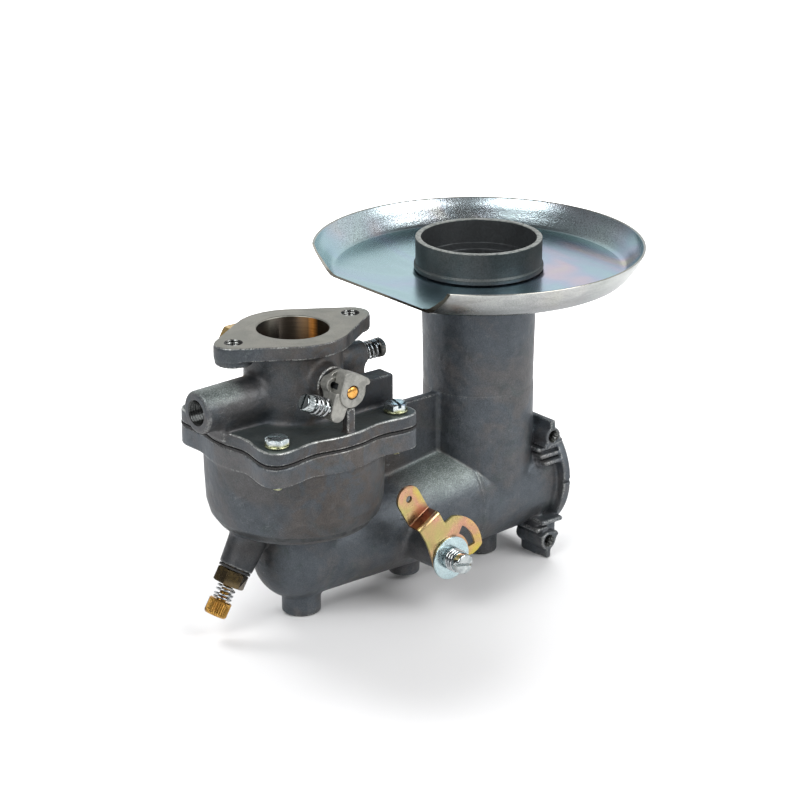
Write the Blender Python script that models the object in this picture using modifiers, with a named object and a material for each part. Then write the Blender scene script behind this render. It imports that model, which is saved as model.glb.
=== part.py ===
"""Updraft float carburetor with an integral intake tube and an air cleaner pan.

Units are metres in the scene and millimetres in the values below. +Z is up. The origin is on the
throat axis at the level of the foot under the intake elbow. +X runs from the throat to the intake
tube. The throttle and choke levers are on the -Y side, which is called the front; +Y is the rear.
"""

import math

import bmesh
import bpy
from mathutils import Matrix, Vector

MM = 0.001

# ---- driving dimensions, in millimetres --------------------------------------------------------
FLANGE_TOP = 118.5
FLANGE_THICKNESS = 5.6
FLANGE_CENTRE_R = 22.6
FLANGE_END_R = 7.4
STUD_HALF = 28.0  # half the distance between the two studs
STUD_BOSS_R = 7.2
STUD_HOLE_R = 3.4
THROAT_R = 14.0
NECK_R = 19.2

COVER_TOP = 85.4
COVER_LOW = 80.2
GASKET_TOP = 79.95
GASKET_LOW = 79.25
BODY_TOP = 79.0
BAND_LOW = 71.2
BOWL_R = 35.8
LUG_R = 8.0
COVER_SCREW_R = 2.3
# Name, x, y and the turn of the screwdriver slot in degrees.
COVER_SCREWS = (
    ("front_left", -29.2, -28.0, -35),
    ("front_right", 28.6, -27.0, 75),
    ("rear_right", 27.5, 25.0, 20),
    ("rear_left", -26.4, 24.0, 110),
)

SHAFT_CLEARANCE = 0.3  # on the radius
THROTTLE_Z = 102.4
THROTTLE_SHAFT_R = 3.175
THROTTLE_TILT = math.radians(12.0)
MIXTURE_Z = 101.2

FUEL_Z = 94.5
FUEL_R = 8.4
FUEL_END_X = -45.9
INLET_X = -24.0  # vertical axis of the inlet needle and its seat
HINGE_X = -28.8
HINGE_Z = 74.0
HINGE_POST_HALF = 1.7

ELBOW_Z = 24.0
ELBOW_R = 17.0
ELBOW_STEPS = 6
PASSAGE_BORE_R = 13.5
PASSAGE_SLOPE = 2.0 / 47.5
PASSAGE_BORE_END_X = 60.0
BARREL_START_Z = 29.6
BARREL_R = 22.3
TUBE_X = 93.6
TUBE_TOP = 122.5
TUBE_BORE_R = 19.6
FOOT_R = 7.75
FOOT_X = 2.4

PAN_LOW = 122.8
PAN_THICKNESS = 1.1
PAN_FLOOR_R = 58.0
PAN_RIM_R = 66.8
PAN_RIM_Z = 133.8
PAN_CHORD = 51.3  # distance from the pan's axis to its flat side
COLLAR_TOP = 136.8
COLLAR_R = 25.4
COLLAR_BORE_R = 23.15

CHOKE_X = 46.3
CHOKE_Z = 23.4
CHOKE_SHAFT_R = 3.0
CHOKE_OFFSET = 2.6  # from the shaft to the middle of the plate, towards -X

NOZZLE_TOP = Vector((0.0, 0.0, 74.6))
NOZZLE_TILT = math.radians(31.5)

SPRING_STEPS = 9  # points per turn
SPRING_CLOSED_STEPS = 0.6 * SPRING_STEPS  # points in the closed part at each end

SMOOTH_ANGLE = math.radians(35.0)

# ---- scene and materials ----------------------------------------------------------------------
for old in list(bpy.data.objects):
    bpy.data.objects.remove(old, do_unlink=True)

parts = bpy.data.collections.new("carburetor")
cutters = bpy.data.collections.new("carburetor_cutters")
bpy.context.scene.collection.children.link(parts)
bpy.context.scene.collection.children.link(cutters)


def material(name, colour, roughness, metallic):
    made = bpy.data.materials.new(name)
    made.use_nodes = True
    shader = made.node_tree.nodes["Principled BSDF"]
    shader.inputs["Base Color"].default_value = (*colour, 1.0)
    shader.inputs["Roughness"].default_value = roughness
    shader.inputs["Metallic"].default_value = metallic
    return made


CASTING = material("cast_aluminium", (0.075, 0.085, 0.095), roughness=0.55, metallic=0.6)
ZINC = material("zinc_plate", (0.45, 0.52, 0.56), roughness=0.28, metallic=1.0)
BLUE_ZINC = material("blue_zinc_plate", (0.26, 0.36, 0.42), roughness=0.25, metallic=1.0)
GOLD = material("yellow_chromate", (0.72, 0.45, 0.16), roughness=0.30, metallic=1.0)
BRASS = material("brass", (0.62, 0.38, 0.12), roughness=0.30, metallic=1.0)
DARK_BRASS = material("aged_brass", (0.20, 0.13, 0.06), roughness=0.38, metallic=1.0)
STEEL = material("spring_steel", (0.50, 0.52, 0.54), roughness=0.25, metallic=1.0)
LEVER_CAST = material("zinc_alloy", (0.36, 0.35, 0.32), roughness=0.42, metallic=0.8)
PHOSPHATED = material("phosphated_steel", (0.055, 0.065, 0.070), roughness=0.5, metallic=0.7)
FIBRE = material("gasket_fibre", (0.02, 0.02, 0.022), roughness=0.85, metallic=0.0)


# ---- shape helpers: a shape with a finish is a part, one without is a boolean helper ------------
def put(name, mesh, finish):
    made = bpy.data.objects.new(name, mesh)
    if finish is None:
        cutters.objects.link(made)
        made.hide_render = True
        made.display_type = "WIRE"
    else:
        parts.objects.link(made)
        mesh.materials.append(finish)
    return made


def put_bmesh(name, bm, finish):
    mesh = bpy.data.meshes.new(name)
    bmesh.ops.recalc_face_normals(bm, faces=bm.faces)
    bm.to_mesh(mesh)
    bm.free()
    return put(name, mesh, finish)


def moved(x=0.0, y=0.0, z=0.0):
    """A translation given in millimetres."""
    return Matrix.Translation((x * MM, y * MM, z * MM))


def z_towards(direction):
    """The rotation that takes +Z to a direction."""
    return direction.to_track_quat("Z", "Y").to_matrix().to_4x4()


def bar(name, start, end, radius, end_radius=None, *, seg, finish=None):
    """A round bar, or a cone where the two radii differ."""
    start, end = Vector(start), Vector(end)
    bm = bmesh.new()
    bmesh.ops.create_cone(
        bm,
        cap_ends=True,
        segments=seg,
        radius1=radius * MM,
        radius2=(radius if end_radius is None else end_radius) * MM,
        depth=(end - start).length * MM,
    )
    start, end = start * MM, end * MM
    place = Matrix.Translation((start + end) / 2) @ z_towards(end - start)
    bmesh.ops.transform(bm, matrix=place, verts=bm.verts)
    return put_bmesh(name, bm, finish)


def post(name, x, y, z_start, z_end, *radii, **options):
    """A bar along Z."""
    return bar(name, (x, y, z_start), (x, y, z_end), *radii, **options)


def cross_bar(name, x, z, y_start, y_end, *radii, **options):
    """A bar along Y."""
    return bar(name, (x, y_start, z), (x, y_end, z), *radii, **options)


def long_bar(name, z, x_start, x_end, *radii, **options):
    """A bar along X in the middle plane."""
    return bar(name, (x_start, 0, z), (x_end, 0, z), *radii, **options)


def block(name, low, high, turn=Matrix.Identity(3)):
    """A box between two corners, turned about its own centre."""
    bm = bmesh.new()
    low, high = Vector(low) * MM, Vector(high) * MM
    scale = Matrix.Diagonal((*(high - low), 1.0))
    place = Matrix.Translation((low + high) / 2) @ turn.to_4x4() @ scale
    bmesh.ops.create_cube(bm, size=1.0, matrix=place)
    return put_bmesh(name, bm, None)


def ball(name, centre, radius, seg, rings):
    bm = bmesh.new()
    place = Matrix.Translation(Vector(centre) * MM)
    bmesh.ops.create_uvsphere(
        bm, u_segments=seg, v_segments=rings, radius=radius * MM, matrix=place
    )
    return put_bmesh(name, bm, None)


def turned(name, profile, *, seg, place=None, ring=False, finish=None):
    """A profile of (radius, height) turned about +Z. A ring profile is closed on itself."""
    mesh = bpy.data.meshes.new(name)
    count = len(profile)
    edges = [(i, i + 1) for i in range(count - 1)]
    if ring:
        edges.append((count - 1, 0))
    mesh.from_pydata([(radius * MM, 0.0, z * MM) for radius, z in profile], edges, [])
    made = put(name, mesh, finish)
    screw = made.modifiers.new("turn", "SCREW")
    screw.axis = "Z"
    screw.steps = screw.render_steps = seg
    screw.use_merge_vertices = True
    screw.merge_threshold = 1e-5
    if place is not None:
        made.matrix_world = place
    return made


def solid_from_curve(name, curve, place, finish):
    """The curve as a mesh object, with its caps welded."""
    source = bpy.data.objects.new(name, curve)
    cutters.objects.link(source)
    source.matrix_world = place
    bpy.context.view_layer.update()
    graph = bpy.context.evaluated_depsgraph_get()
    mesh = bpy.data.meshes.new_from_object(source.evaluated_get(graph))
    bpy.data.objects.remove(source, do_unlink=True)
    mesh.materials.clear()
    bm = bmesh.new()
    bm.from_mesh(mesh)
    bmesh.ops.remove_doubles(bm, verts=bm.verts, dist=1e-6)
    bmesh.ops.recalc_face_normals(bm, faces=bm.faces)
    bm.to_mesh(mesh)
    bm.free()
    solid = put(name, mesh, finish)
    solid.matrix_world = place
    return solid


def slab(name, outlines, low, high, place=Matrix.Identity(4), finish=None):
    """Closed 2D outlines, filled and given a thickness from low to high along +Z."""
    curve = bpy.data.curves.new(name, "CURVE")
    curve.dimensions = "2D"
    curve.fill_mode = "BOTH"
    curve.extrude = (high - low) / 2 * MM
    for outline in outlines:
        spline = curve.splines.new("POLY")
        spline.points.add(len(outline) - 1)
        for point, (x, y) in zip(spline.points, outline):
            point.co = (x * MM, y * MM, 0.0, 1.0)
        spline.use_cyclic_u = True
    return solid_from_curve(name, curve, place @ moved(z=(low + high) / 2), finish)


def coil(name, start, end, radius, wire, turns):
    """A steel compression spring between two points, with closed end turns."""
    start, end = Vector(start), Vector(end)
    curve = bpy.data.curves.new(name, "CURVE")
    curve.dimensions = "3D"
    curve.bevel_depth = wire * MM
    curve.bevel_resolution = 0
    curve.use_fill_caps = True
    count = int(turns * SPRING_STEPS)
    spline = curve.splines.new("POLY")
    spline.points.add(count)
    closed_rise = 2.1 * wire / SPRING_STEPS
    open_length = (end - start).length - 2 * wire - 2 * SPRING_CLOSED_STEPS * closed_rise
    open_rise = open_length / (count - 2 * SPRING_CLOSED_STEPS)
    height = wire
    for i, point in enumerate(spline.points):
        angle = 2 * math.pi * i / SPRING_STEPS
        x, y = radius * math.cos(angle), radius * math.sin(angle)
        point.co = (x * MM, y * MM, height * MM, 1.0)
        closed = i < SPRING_CLOSED_STEPS or i >= count - SPRING_CLOSED_STEPS
        height += closed_rise if closed else open_rise
    place = Matrix.Translation(start * MM) @ z_towards(end - start)
    return solid_from_curve(name, curve, place, STEEL)


def boolean(target, other, operation):
    modifier = target.modifiers.new(f"{operation.lower()}_{other.name}"[:60], "BOOLEAN")
    modifier.operation = operation
    modifier.solver = "EXACT"
    modifier.object = other


def join(target, *others):
    for other in others:
        boolean(target, other, "UNION")


def cut(target, *others):
    for other in others:
        boolean(target, other, "DIFFERENCE")


def move_to_frame(pieces, frame):
    """Moves pieces made about the origin, and their boolean helpers, into a joint's frame."""
    for piece in pieces:
        helpers = [mod.object for mod in piece.modifiers if mod.type == "BOOLEAN"]
        for made in helpers + [piece]:
            made.matrix_world = frame @ made.matrix_world


def turn_about(name, origin, pieces):
    """Hangs pieces that move together from an empty on their joint's axis, without moving them."""
    axis = bpy.data.objects.new(name, None)
    axis.empty_display_size = 0.01
    axis.location = Vector(origin) * MM
    parts.objects.link(axis)
    bpy.context.view_layer.update()
    for piece in pieces:
        piece.parent = axis
        piece.matrix_parent_inverse = axis.matrix_world.inverted()


def front_plane(y):
    """Takes an outline's x, y to world x, z, with the slab's +Z pointing to -Y."""
    return moved(y=y) @ Matrix.Rotation(math.pi / 2, 4, "X")


# ---- shared outlines --------------------------------------------------------------------------
def bowl_outline(grow=0.0, steps=72):
    """The outline of the cover, gasket and bowl band: a circle that swells out to the lugs."""
    radius, lug = BOWL_R + grow, LUG_R + grow
    points = []
    for i in range(steps):
        angle = 2 * math.pi * i / steps
        reach = radius
        for _, x, y, _ in COVER_SCREWS:
            centre = math.atan2(y, x)
            off = math.atan2(math.sin(angle - centre), math.cos(angle - centre))
            swell = math.hypot(x, y) + lug - radius
            bump = radius + swell * math.exp(-((off / math.radians(14.0)) ** 2))
            reach = max(reach, bump)
        points.append((reach * math.cos(angle), reach * math.sin(angle)))
    return points


def circle(x, y, radius, seg):
    angles = [2 * math.pi * i / seg for i in range(seg)]
    return [(x + radius * math.cos(angle), y + radius * math.sin(angle)) for angle in angles]


def rhombic_outline(centre_r, end_r, half, seg=9):
    """A two-bolt flange: arcs round the bore and round both studs, joined by tangents."""
    lean = math.acos((centre_r - end_r) / half)
    # Centre x, radius, first and last angle.
    arcs = (
        (half, end_r, -lean, lean),
        (0.0, centre_r, lean, math.pi - lean),
        (-half, end_r, math.pi - lean, math.pi + lean),
        (0.0, centre_r, math.pi + lean, 2 * math.pi - lean),
    )
    points = []
    for x, radius, first, last in arcs:
        for i in range(seg + 1):
            angle = first + (last - first) * i / seg
            points.append((x + radius * math.cos(angle), radius * math.sin(angle)))
    return points


# ---- lower casting: bowl, elbow, air passage, intake tube ------------------------------------
NOZZLE_DIR = Vector((-math.sin(NOZZLE_TILT), 0.0, -math.cos(NOZZLE_TILT)))


def nozzle_at(distance):
    """A point on the main nozzle's axis, measured down from its top."""
    return NOZZLE_TOP + NOZZLE_DIR * distance


lower_body = turned(
    "lower_body",
    [
        (0.0, BODY_TOP),
        (BOWL_R - 0.3, BODY_TOP),
        (BOWL_R - 0.6, 62.0),
        (BOWL_R - 1.2, 50.5),
        (BOWL_R - 2.6, 45.5),
        (BOWL_R - 5.6, 41.4),
        (BOWL_R - 10.4, 39.0),
        (ELBOW_R + 1.5, 37.6),
        (0.0, 37.6),
    ],
    seg=40,
    finish=CASTING,
)

elbow_angles = [math.pi / 2 * i / ELBOW_STEPS for i in range(ELBOW_STEPS)]
elbow_profile = [
    (0.0, 44.0),
    (ELBOW_R - 0.2, 44.0),
    *((ELBOW_R * math.cos(a), ELBOW_Z - ELBOW_R * math.sin(a)) for a in elbow_angles),
    (0.0, ELBOW_Z - ELBOW_R),
]
tube_profile = [
    (0.0, TUBE_TOP),
    (23.3, TUBE_TOP),
    (22.3, 76.0),
    (22.5, 75.5),
    (22.3, 30.0),
    (0.0, 30.0),
]
passage_end = (80.0, 0, BARREL_START_Z)
barrel_start = (79.0, 0, BARREL_START_Z)
join(
    lower_body,
    slab("band", [bowl_outline()], BAND_LOW, BODY_TOP),
    turned("elbow", elbow_profile, seg=28),
    bar("passage", (0.5, 0, ELBOW_Z), passage_end, ELBOW_R - 0.1, BARREL_R - 0.1, seg=32),
    bar("barrel", barrel_start, (119.0, 0, 31.6), BARREL_R, seg=32),
    turned("tube", tube_profile, place=moved(TUBE_X + 0.3), seg=36),
    block("web", (30.0, -2.0, 30.0), (76.0, 2.0, 75.8)),
    post("pad_under_passage", 55.0, 0, 2.0, 22.0, 6.3, 6.8, seg=18),
    post("pad_under_tube", 96.8, 0, 0.3, 20.0, 6.2, 6.6, seg=18),
    post("foot_boss", FOOT_X, 0, 0.0, 20.0, FOOT_R, seg=24),
    bar("nozzle_boss", nozzle_at(18.0), nozzle_at(56.0), 9.6, 6.7, seg=22),
    cross_bar("choke_boss", CHOKE_X, CHOKE_Z, -37.0, -12.0, 6.4, 7.2, seg=20),
    cross_bar("choke_boss_rear", CHOKE_X, CHOKE_Z, 12.0, 26.0, 7.0, 6.2, seg=18),
    long_bar("end_plate", 33.0, 118.3, 121.9, 26.6, seg=36),
)

# Fins, ribs and lugs stand out to both sides at the +X end.
FIN_START_Y = 9.0
FIN_END_Y = 24.6
LUGS = {"upper": (113.6, 53.4), "lower": (112.3, 7.6)}  # x, z of each lug's axis
LUG_START_Y = {"upper": 10.0, "lower": 9.5}
# Name, low x, high x, low z, high z. The fin is first at each level.
FIN_BOXES = {
    "upper": (
        ("fin", 111.9, 114.7, 38.0, 60.4),
        ("rib", 109.2, 120.2, 45.2, 47.4),
        ("rib_low", 110.4, 119.0, 41.0, 43.0),
    ),
    "lower": (
        ("fin", 110.9, 113.7, 0.0, 26.0),
        ("rib", 108.6, 120.0, 13.6, 15.8),
        ("rib_high", 109.8, 119.4, 18.0, 20.0),
    ),
}
for side, tag in ((-1, "front"), (1, "rear")):
    low_y, high_y = sorted((FIN_START_Y * side, FIN_END_Y * side))
    for level, (x, z) in LUGS.items():
        fin, *ribs = (
            block(f"{level}_{box}_{tag}", (low_x, low_y, low_z), (high_x, high_y, high_z))
            for box, low_x, high_x, low_z, high_z in FIN_BOXES[level]
        )
        start_y, end_y = LUG_START_Y[level] * side, FIN_END_Y * side
        lug = cross_bar(f"{level}_lug_{tag}", x, z, start_y, end_y, 3.8, seg=12)
        join(lower_body, fin, lug, *ribs)

float_chamber_profile = [
    (32.3, 84.0),
    (31.8, 52.0),
    (29.8, 46.0),
    (26.0, 43.0),
    (16.4, 43.0),
    (16.4, 84.0),
]
passage_bore_end = (PASSAGE_BORE_END_X, 0, ELBOW_Z + PASSAGE_SLOPE * PASSAGE_BORE_END_X)
cut(
    lower_body,
    turned("float_chamber", float_chamber_profile, ring=True, seg=36),
    post("riser_bore", 0, 0, ELBOW_Z, 84.0, PASSAGE_BORE_R, seg=24),
    ball("elbow_turn", (0, 0, ELBOW_Z), 13.62, seg=20, rings=10),
    bar("passage_bore", (0, 0, ELBOW_Z), passage_bore_end, PASSAGE_BORE_R, 17.8, seg=24),
    post("tube_bore", TUBE_X, 0, 28.0, 126.0, TUBE_BORE_R, seg=28),
    post("tube_mouth", TUBE_X, 0, 108.0, 126.5, TUBE_BORE_R + 1.0, seg=28),
    bar("barrel_bore", (58.0, 0, 27.6), (114.0, 0, 31.2), 17.9, 19.0, seg=24),
    bar("nozzle_bore", nozzle_at(12.0), nozzle_at(60.0), 3.1, seg=14),
    bar("packing_bore", nozzle_at(49.0), nozzle_at(60.0), 4.8, seg=14),
    post("nozzle_feed", INLET_X, 0, 34.0, 48.0, 1.2, seg=10),
    cross_bar(
        "choke_bore", CHOKE_X, CHOKE_Z, -40.0, 22.0, CHOKE_SHAFT_R + SHAFT_CLEARANCE, seg=14
    ),
    block("plate_notch", (118.0, -28.5, 32.2), (122.5, -25.7, 33.8)),
    block("plate_flat_top", (117.2, -30.0, 54.8), (123.0, 30.0, 64.0)),
    block("plate_flat_low", (119.2, -30.0, 4.0), (123.0, 30.0, 9.6)),
)
for i, (_, x, y, _) in enumerate(COVER_SCREWS):
    cut(lower_body, post(f"tapped_hole_{i}", x, y, 60.0, 84.0, COVER_SCREW_R + 0.3, seg=10))
for side in (-1, 1):
    for level, (x, z) in LUGS.items():
        hole = cross_bar(f"{level}_lug_hole_{side}", x, z, 13 * side, 30 * side, 2.2, seg=8)
        cut(lower_body, hole)

# ---- upper casting: cover, throat, manifold flange, fuel inlet --------------------------------
upper_body = slab("upper_body", [bowl_outline()], COVER_LOW, COVER_TOP, finish=CASTING)
flange_outline = rhombic_outline(FLANGE_CENTRE_R, FLANGE_END_R, STUD_HALF)
post_low_x, post_high_x = HINGE_X - HINGE_POST_HALF, HINGE_X + HINGE_POST_HALF
join(
    upper_body,
    post("neck", 0, 0, COVER_LOW + 1, FLANGE_TOP - 1.5, NECK_R + 0.6, NECK_R - 0.4, seg=32),
    slab("flange", [flange_outline], FLANGE_TOP - FLANGE_THICKNESS, FLANGE_TOP),
    post("stud_boss_left", -STUD_HALF, 0, 110.4, FLANGE_TOP - 1, STUD_BOSS_R, seg=20),
    post("stud_boss_right", STUD_HALF, 0, 111.8, FLANGE_TOP - 1, STUD_BOSS_R, seg=20),
    long_bar("fuel_boss", FUEL_Z, FUEL_END_X, -8.0, FUEL_R, FUEL_R + 0.8, seg=24),
    block("fuel_web", (-41.0, -6.6, 82.0), (-10.0, 6.6, FUEL_Z)),
    long_bar("mixture_boss", MIXTURE_Z, 10.0, 35.6, 6.4, 4.7, seg=16),
    block("mixture_lug", (14.0, -4.4, 92.0), (32.0, 4.4, 99.5)),
    cross_bar("shaft_boss_front", 0, THROTTLE_Z, -24.4, -10.0, 6.6, 6.9, seg=20),
    cross_bar("shaft_boss_rear", 0, THROTTLE_Z, 10.0, 25.0, 6.9, 6.6, seg=20),
    block("corner_block", (12.0, -20.0, 83.0), (33.5, -11.4, 97.8)),
    block("stop_post", (-0.9, -34.6, 83.0), (2.5, -31.4, 95.2)),
    block("hinge_post_front", (post_low_x, -8.9, 71.6), (post_high_x, -6.3, 82.0)),
    block("hinge_post_rear", (post_low_x, 6.3, 71.6), (post_high_x, 8.9, 82.0)),
)
throttle_bore_r = THROTTLE_SHAFT_R + SHAFT_CLEARANCE
cut(
    upper_body,
    post("throat_bore", 0, 0, 78.0, 122.0, THROAT_R, seg=28),
    cross_bar("throttle_bore", 0, THROTTLE_Z, -30.0, 30.0, throttle_bore_r, seg=14),
    long_bar("fuel_bore", FUEL_Z, -50.0, -31.0, 4.7, seg=16),
    long_bar("fuel_drilling", FUEL_Z, -34.0, -23.0, 2.0, seg=12),
    post("seat_bore", INLET_X, 0, 78.0, 92.0, 3.9, seg=16),
    post("seat_drilling", INLET_X, 0, 90.0, 96.2, 1.6, seg=12),
    long_bar("mixture_bore", MIXTURE_Z, 16.5, 40.0, 2.5, seg=12),
    long_bar("mixture_port", MIXTURE_Z, 10.0, 20.0, 0.9, seg=8),
    cross_bar("hinge_pin_bore", HINGE_X, HINGE_Z, -12.0, 12.0, 1.1, seg=12),
    post("stud_hole_left", -STUD_HALF, 0, 105.0, 122.0, STUD_HOLE_R, seg=14),
    post("stud_hole_right", STUD_HALF, 0, 105.0, 122.0, STUD_HOLE_R, seg=14),
)
for i, (_, x, y, _) in enumerate(COVER_SCREWS):
    cut(upper_body, post(f"clear_hole_{i}", x, y, 78.0, 88.0, COVER_SCREW_R + 0.4, seg=10))

# ---- gasket, venturi, air cleaner pan and collar ----------------------------------------------
gasket_holes = [circle(x, y, COVER_SCREW_R + 0.5, 8) for _, x, y, _ in COVER_SCREWS]
slab(
    "body_gasket",
    [bowl_outline(grow=0.1), circle(0, 0, 32.4, 36), *gasket_holes],
    GASKET_LOW,
    GASKET_TOP,
    finish=FIBRE,
)

turned(
    "venturi",
    [
        (16.6, GASKET_TOP),
        (16.6, 79.3),
        (13.2, 79.3),
        (13.2, 59.5),
        (12.7, 59.5),
        (10.7, 67.5),
        (10.8, 72.0),
        (12.9, GASKET_TOP),
    ],
    ring=True,
    seg=24,
    finish=BRASS,
)

pan_under = [
    (PAN_RIM_R, PAN_RIM_Z),
    (65.9, PAN_RIM_Z - 2.8),
    (61.6, PAN_LOW + 2.4),
    (PAN_FLOOR_R - 0.6, PAN_LOW),
    (23.4, PAN_LOW),
]
pan_over = [
    (23.4, PAN_LOW + PAN_THICKNESS - 0.2),
    (27.0, PAN_LOW + PAN_THICKNESS - 0.2),
    (27.4, PAN_LOW + PAN_THICKNESS),
    (PAN_FLOOR_R - 0.9, PAN_LOW + PAN_THICKNESS),
    (60.9, PAN_LOW + 3.3),
    (64.8, PAN_RIM_Z - 2.3),
    (65.7, PAN_RIM_Z),
]
air_cleaner_pan = turned(
    "air_cleaner_pan",
    pan_under + pan_over,
    place=moved(TUBE_X),
    ring=True,
    seg=56,
    finish=BLUE_ZINC,
)
cut(air_cleaner_pan, block("pan_chord", (10.0, -90.0, 110.0), (TUBE_X - PAN_CHORD, 90.0, 150.0)))

turned(
    "intake_collar",
    [
        (COLLAR_R, COLLAR_TOP),
        (COLLAR_R, 126.5),
        (COLLAR_R + 0.6, 126.0),
        (COLLAR_R + 0.6, 124.2),
        (20.3, 124.2),
        (20.3, 110.5),
        (19.2, 110.5),
        (19.2, 125.6),
        (COLLAR_BORE_R, 126.6),
        (COLLAR_BORE_R, COLLAR_TOP),
    ],
    place=moved(TUBE_X),
    ring=True,
    seg=32,
    finish=PHOSPHATED,
)

# ---- cover screws -----------------------------------------------------------------------------
for tag, x, y, slot_turn in COVER_SCREWS:
    name = f"cover_screw_{tag}"
    screw = post(name, x, y, COVER_TOP + 0.3, COVER_TOP + 1.0, 4.7, seg=24, finish=ZINC)
    join(
        screw,
        post(f"{name}_hex", x, y, COVER_TOP + 0.8, COVER_TOP + 4.0, 4.55, 4.35, seg=6),
        post(f"{name}_shank", x, y, BAND_LOW - 0.9, COVER_TOP + 0.9, COVER_SCREW_R, seg=16),
    )
    cut(
        screw,
        block(
            f"{name}_slot",
            (x - 6, y - 0.55, COVER_TOP + 2.6),
            (x + 6, y + 0.55, COVER_TOP + 6),
            turn=Matrix.Rotation(math.radians(slot_turn), 3, "Z"),
        ),
    )


# ---- throttle and choke discs, made about the origin and then moved to their shafts ------------
def screw_holes(prefix, half_pitch, low, radius):
    """Helpers for the two holes through a shaft or its plate."""
    rows = (("a", -half_pitch), ("b", half_pitch))
    return [post(f"{prefix}_{tag}", 0, y, low, 4, radius, seg=12) for tag, y in rows]


def plate_screws(valve, half_pitch, shank_low):
    """The two slotted screws that hold a plate to its shaft."""
    screws = []
    for tag, y in (("front", -half_pitch), ("rear", half_pitch)):
        profile = [
            (0, 3.5),
            (2.2, 3.1),
            (2.7, 1.8),
            (1.05, 1.8),
            (1.05, shank_low),
            (0, shank_low),
        ]
        name = f"{valve}_plate_screw_{tag}"
        screw = turned(name, profile, seg=10, place=moved(y=y), finish=ZINC)
        slot_name = f"{valve}_screw_slot_{tag}"
        cut(screw, block(slot_name, (-4, y - 0.35, 2.8), (4, y + 0.35, 5)))
        screws.append(screw)
    return screws


# ---- throttle ---------------------------------------------------------------------------------
THROTTLE_AXIS = (0.0, 0.0, THROTTLE_Z)
THROTTLE_SCREW_HALF = 6.5  # half the distance between the plate screws

throttle_shaft = cross_bar(
    "throttle_shaft", 0, 0, -31.5, 33.0, THROTTLE_SHAFT_R, seg=24, finish=BRASS
)
join(
    throttle_shaft,
    cross_bar("shaft_front_end", 0, 0, -36.9, -30, 2.5, seg=20),
    cross_bar("shaft_front_crown", 0, 0, -37.4, -36.7, 1.6, 2.45, seg=20),
)
cut(
    throttle_shaft,
    block("shaft_flat", (-5, -13.6, 0.0), (5, 13.6, 6)),
    *screw_holes("shaft_screw_hole", THROTTLE_SCREW_HALF, -1.9, 1.35),
)
throttle_plate = post("throttle_plate", 0, 0, 0.3, 1.5, 13.5, seg=30, finish=BRASS)
cut(throttle_plate, *screw_holes("plate_hole", THROTTLE_SCREW_HALF, -1, 1.4))
throttle_pieces = [
    throttle_shaft,
    throttle_plate,
    *plate_screws("throttle", THROTTLE_SCREW_HALF, shank_low=-1.5),
]
move_to_frame(throttle_pieces, moved(*THROTTLE_AXIS) @ Matrix.Rotation(THROTTLE_TILT, 4, "Y"))

# The idle speed screw runs through the stop lever, in front of the throttle shaft.
IDLE_SCREW_START = Vector((-20.4, -33.0, THROTTLE_Z))
IDLE_SCREW_DIR = Vector((0.907, 0.0, -0.421)).normalized()


def idle_screw_at(distance):
    """A point on the idle speed screw's axis, measured from its head."""
    return IDLE_SCREW_START + IDLE_SCREW_DIR * distance


# Outlines of the stop lever: x, z from the throttle axis.
LEVER_FRONT = (
    (-3.3, 7.9), (-0.7, 8.1), (1.3, 7.4), (5.6, 5.3), (7.8, 3.9),
    (8.6, 2.5), (8.1, 1.4), (6.3, 1.5), (6.1, -1.8), (4.4, -4.6),
    (1.2, -6.2), (-2.4, -5.8), (-4.9, -3.6), (-5.7, -0.4), (-5.3, 1.0),
)
LEVER_LOBE = (
    (-6.3, 1.0), (-0.6, -5.6), (-2.0, -7.6), (-3.2, -10.4),
    (-5.6, -11.4), (-8.2, -10.4), (-9.2, -8.0), (-8.4, -4.0),
)


def lever_slab(name, outline, thickness, y):
    raised = [(x, THROTTLE_Z + z) for x, z in outline]
    return slab(name, [raised], 0.0, thickness, place=front_plane(y))


throttle_stop_lever = cross_bar(
    "throttle_stop_lever", 0, THROTTLE_Z, -36.4, -27.0, 4.6, seg=28, finish=LEVER_CAST
)
join(
    throttle_stop_lever,
    lever_slab("lever_front", LEVER_FRONT, 5.2, -31.6),
    lever_slab("lever_lobe", LEVER_LOBE, 7.3, -28.2),
    cross_bar("lever_disc", 0, THROTTLE_Z, -28.6, -26.8, 6.7, seg=28),
)
cut(
    throttle_stop_lever,
    cross_bar("lever_bore_small", 0, THROTTLE_Z, -40, -20, 2.8, seg=20),
    cross_bar("lever_bore_large", 0, THROTTLE_Z, -31.8, -20, throttle_bore_r, seg=20),
    bar("lever_tapping", idle_screw_at(4.0), idle_screw_at(24.0), 1.9, seg=14),
    cross_bar("lever_pin_hole", -4.75, THROTTLE_Z + 2.6, -30.0, -26, 0.8, seg=10),
)

throttle_shaft_nut = cross_bar(
    "throttle_shaft_nut", 0, THROTTLE_Z, 29.6, 38.6, 7.4, seg=6, finish=BRASS
)
join(throttle_shaft_nut, cross_bar("nut_collar", 0, THROTTLE_Z, 27.4, 30.2, 5.6, seg=24))
cut(throttle_shaft_nut, cross_bar("nut_bore", 0, THROTTLE_Z, 26.0, 33.6, throttle_bore_r, seg=20))

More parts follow.
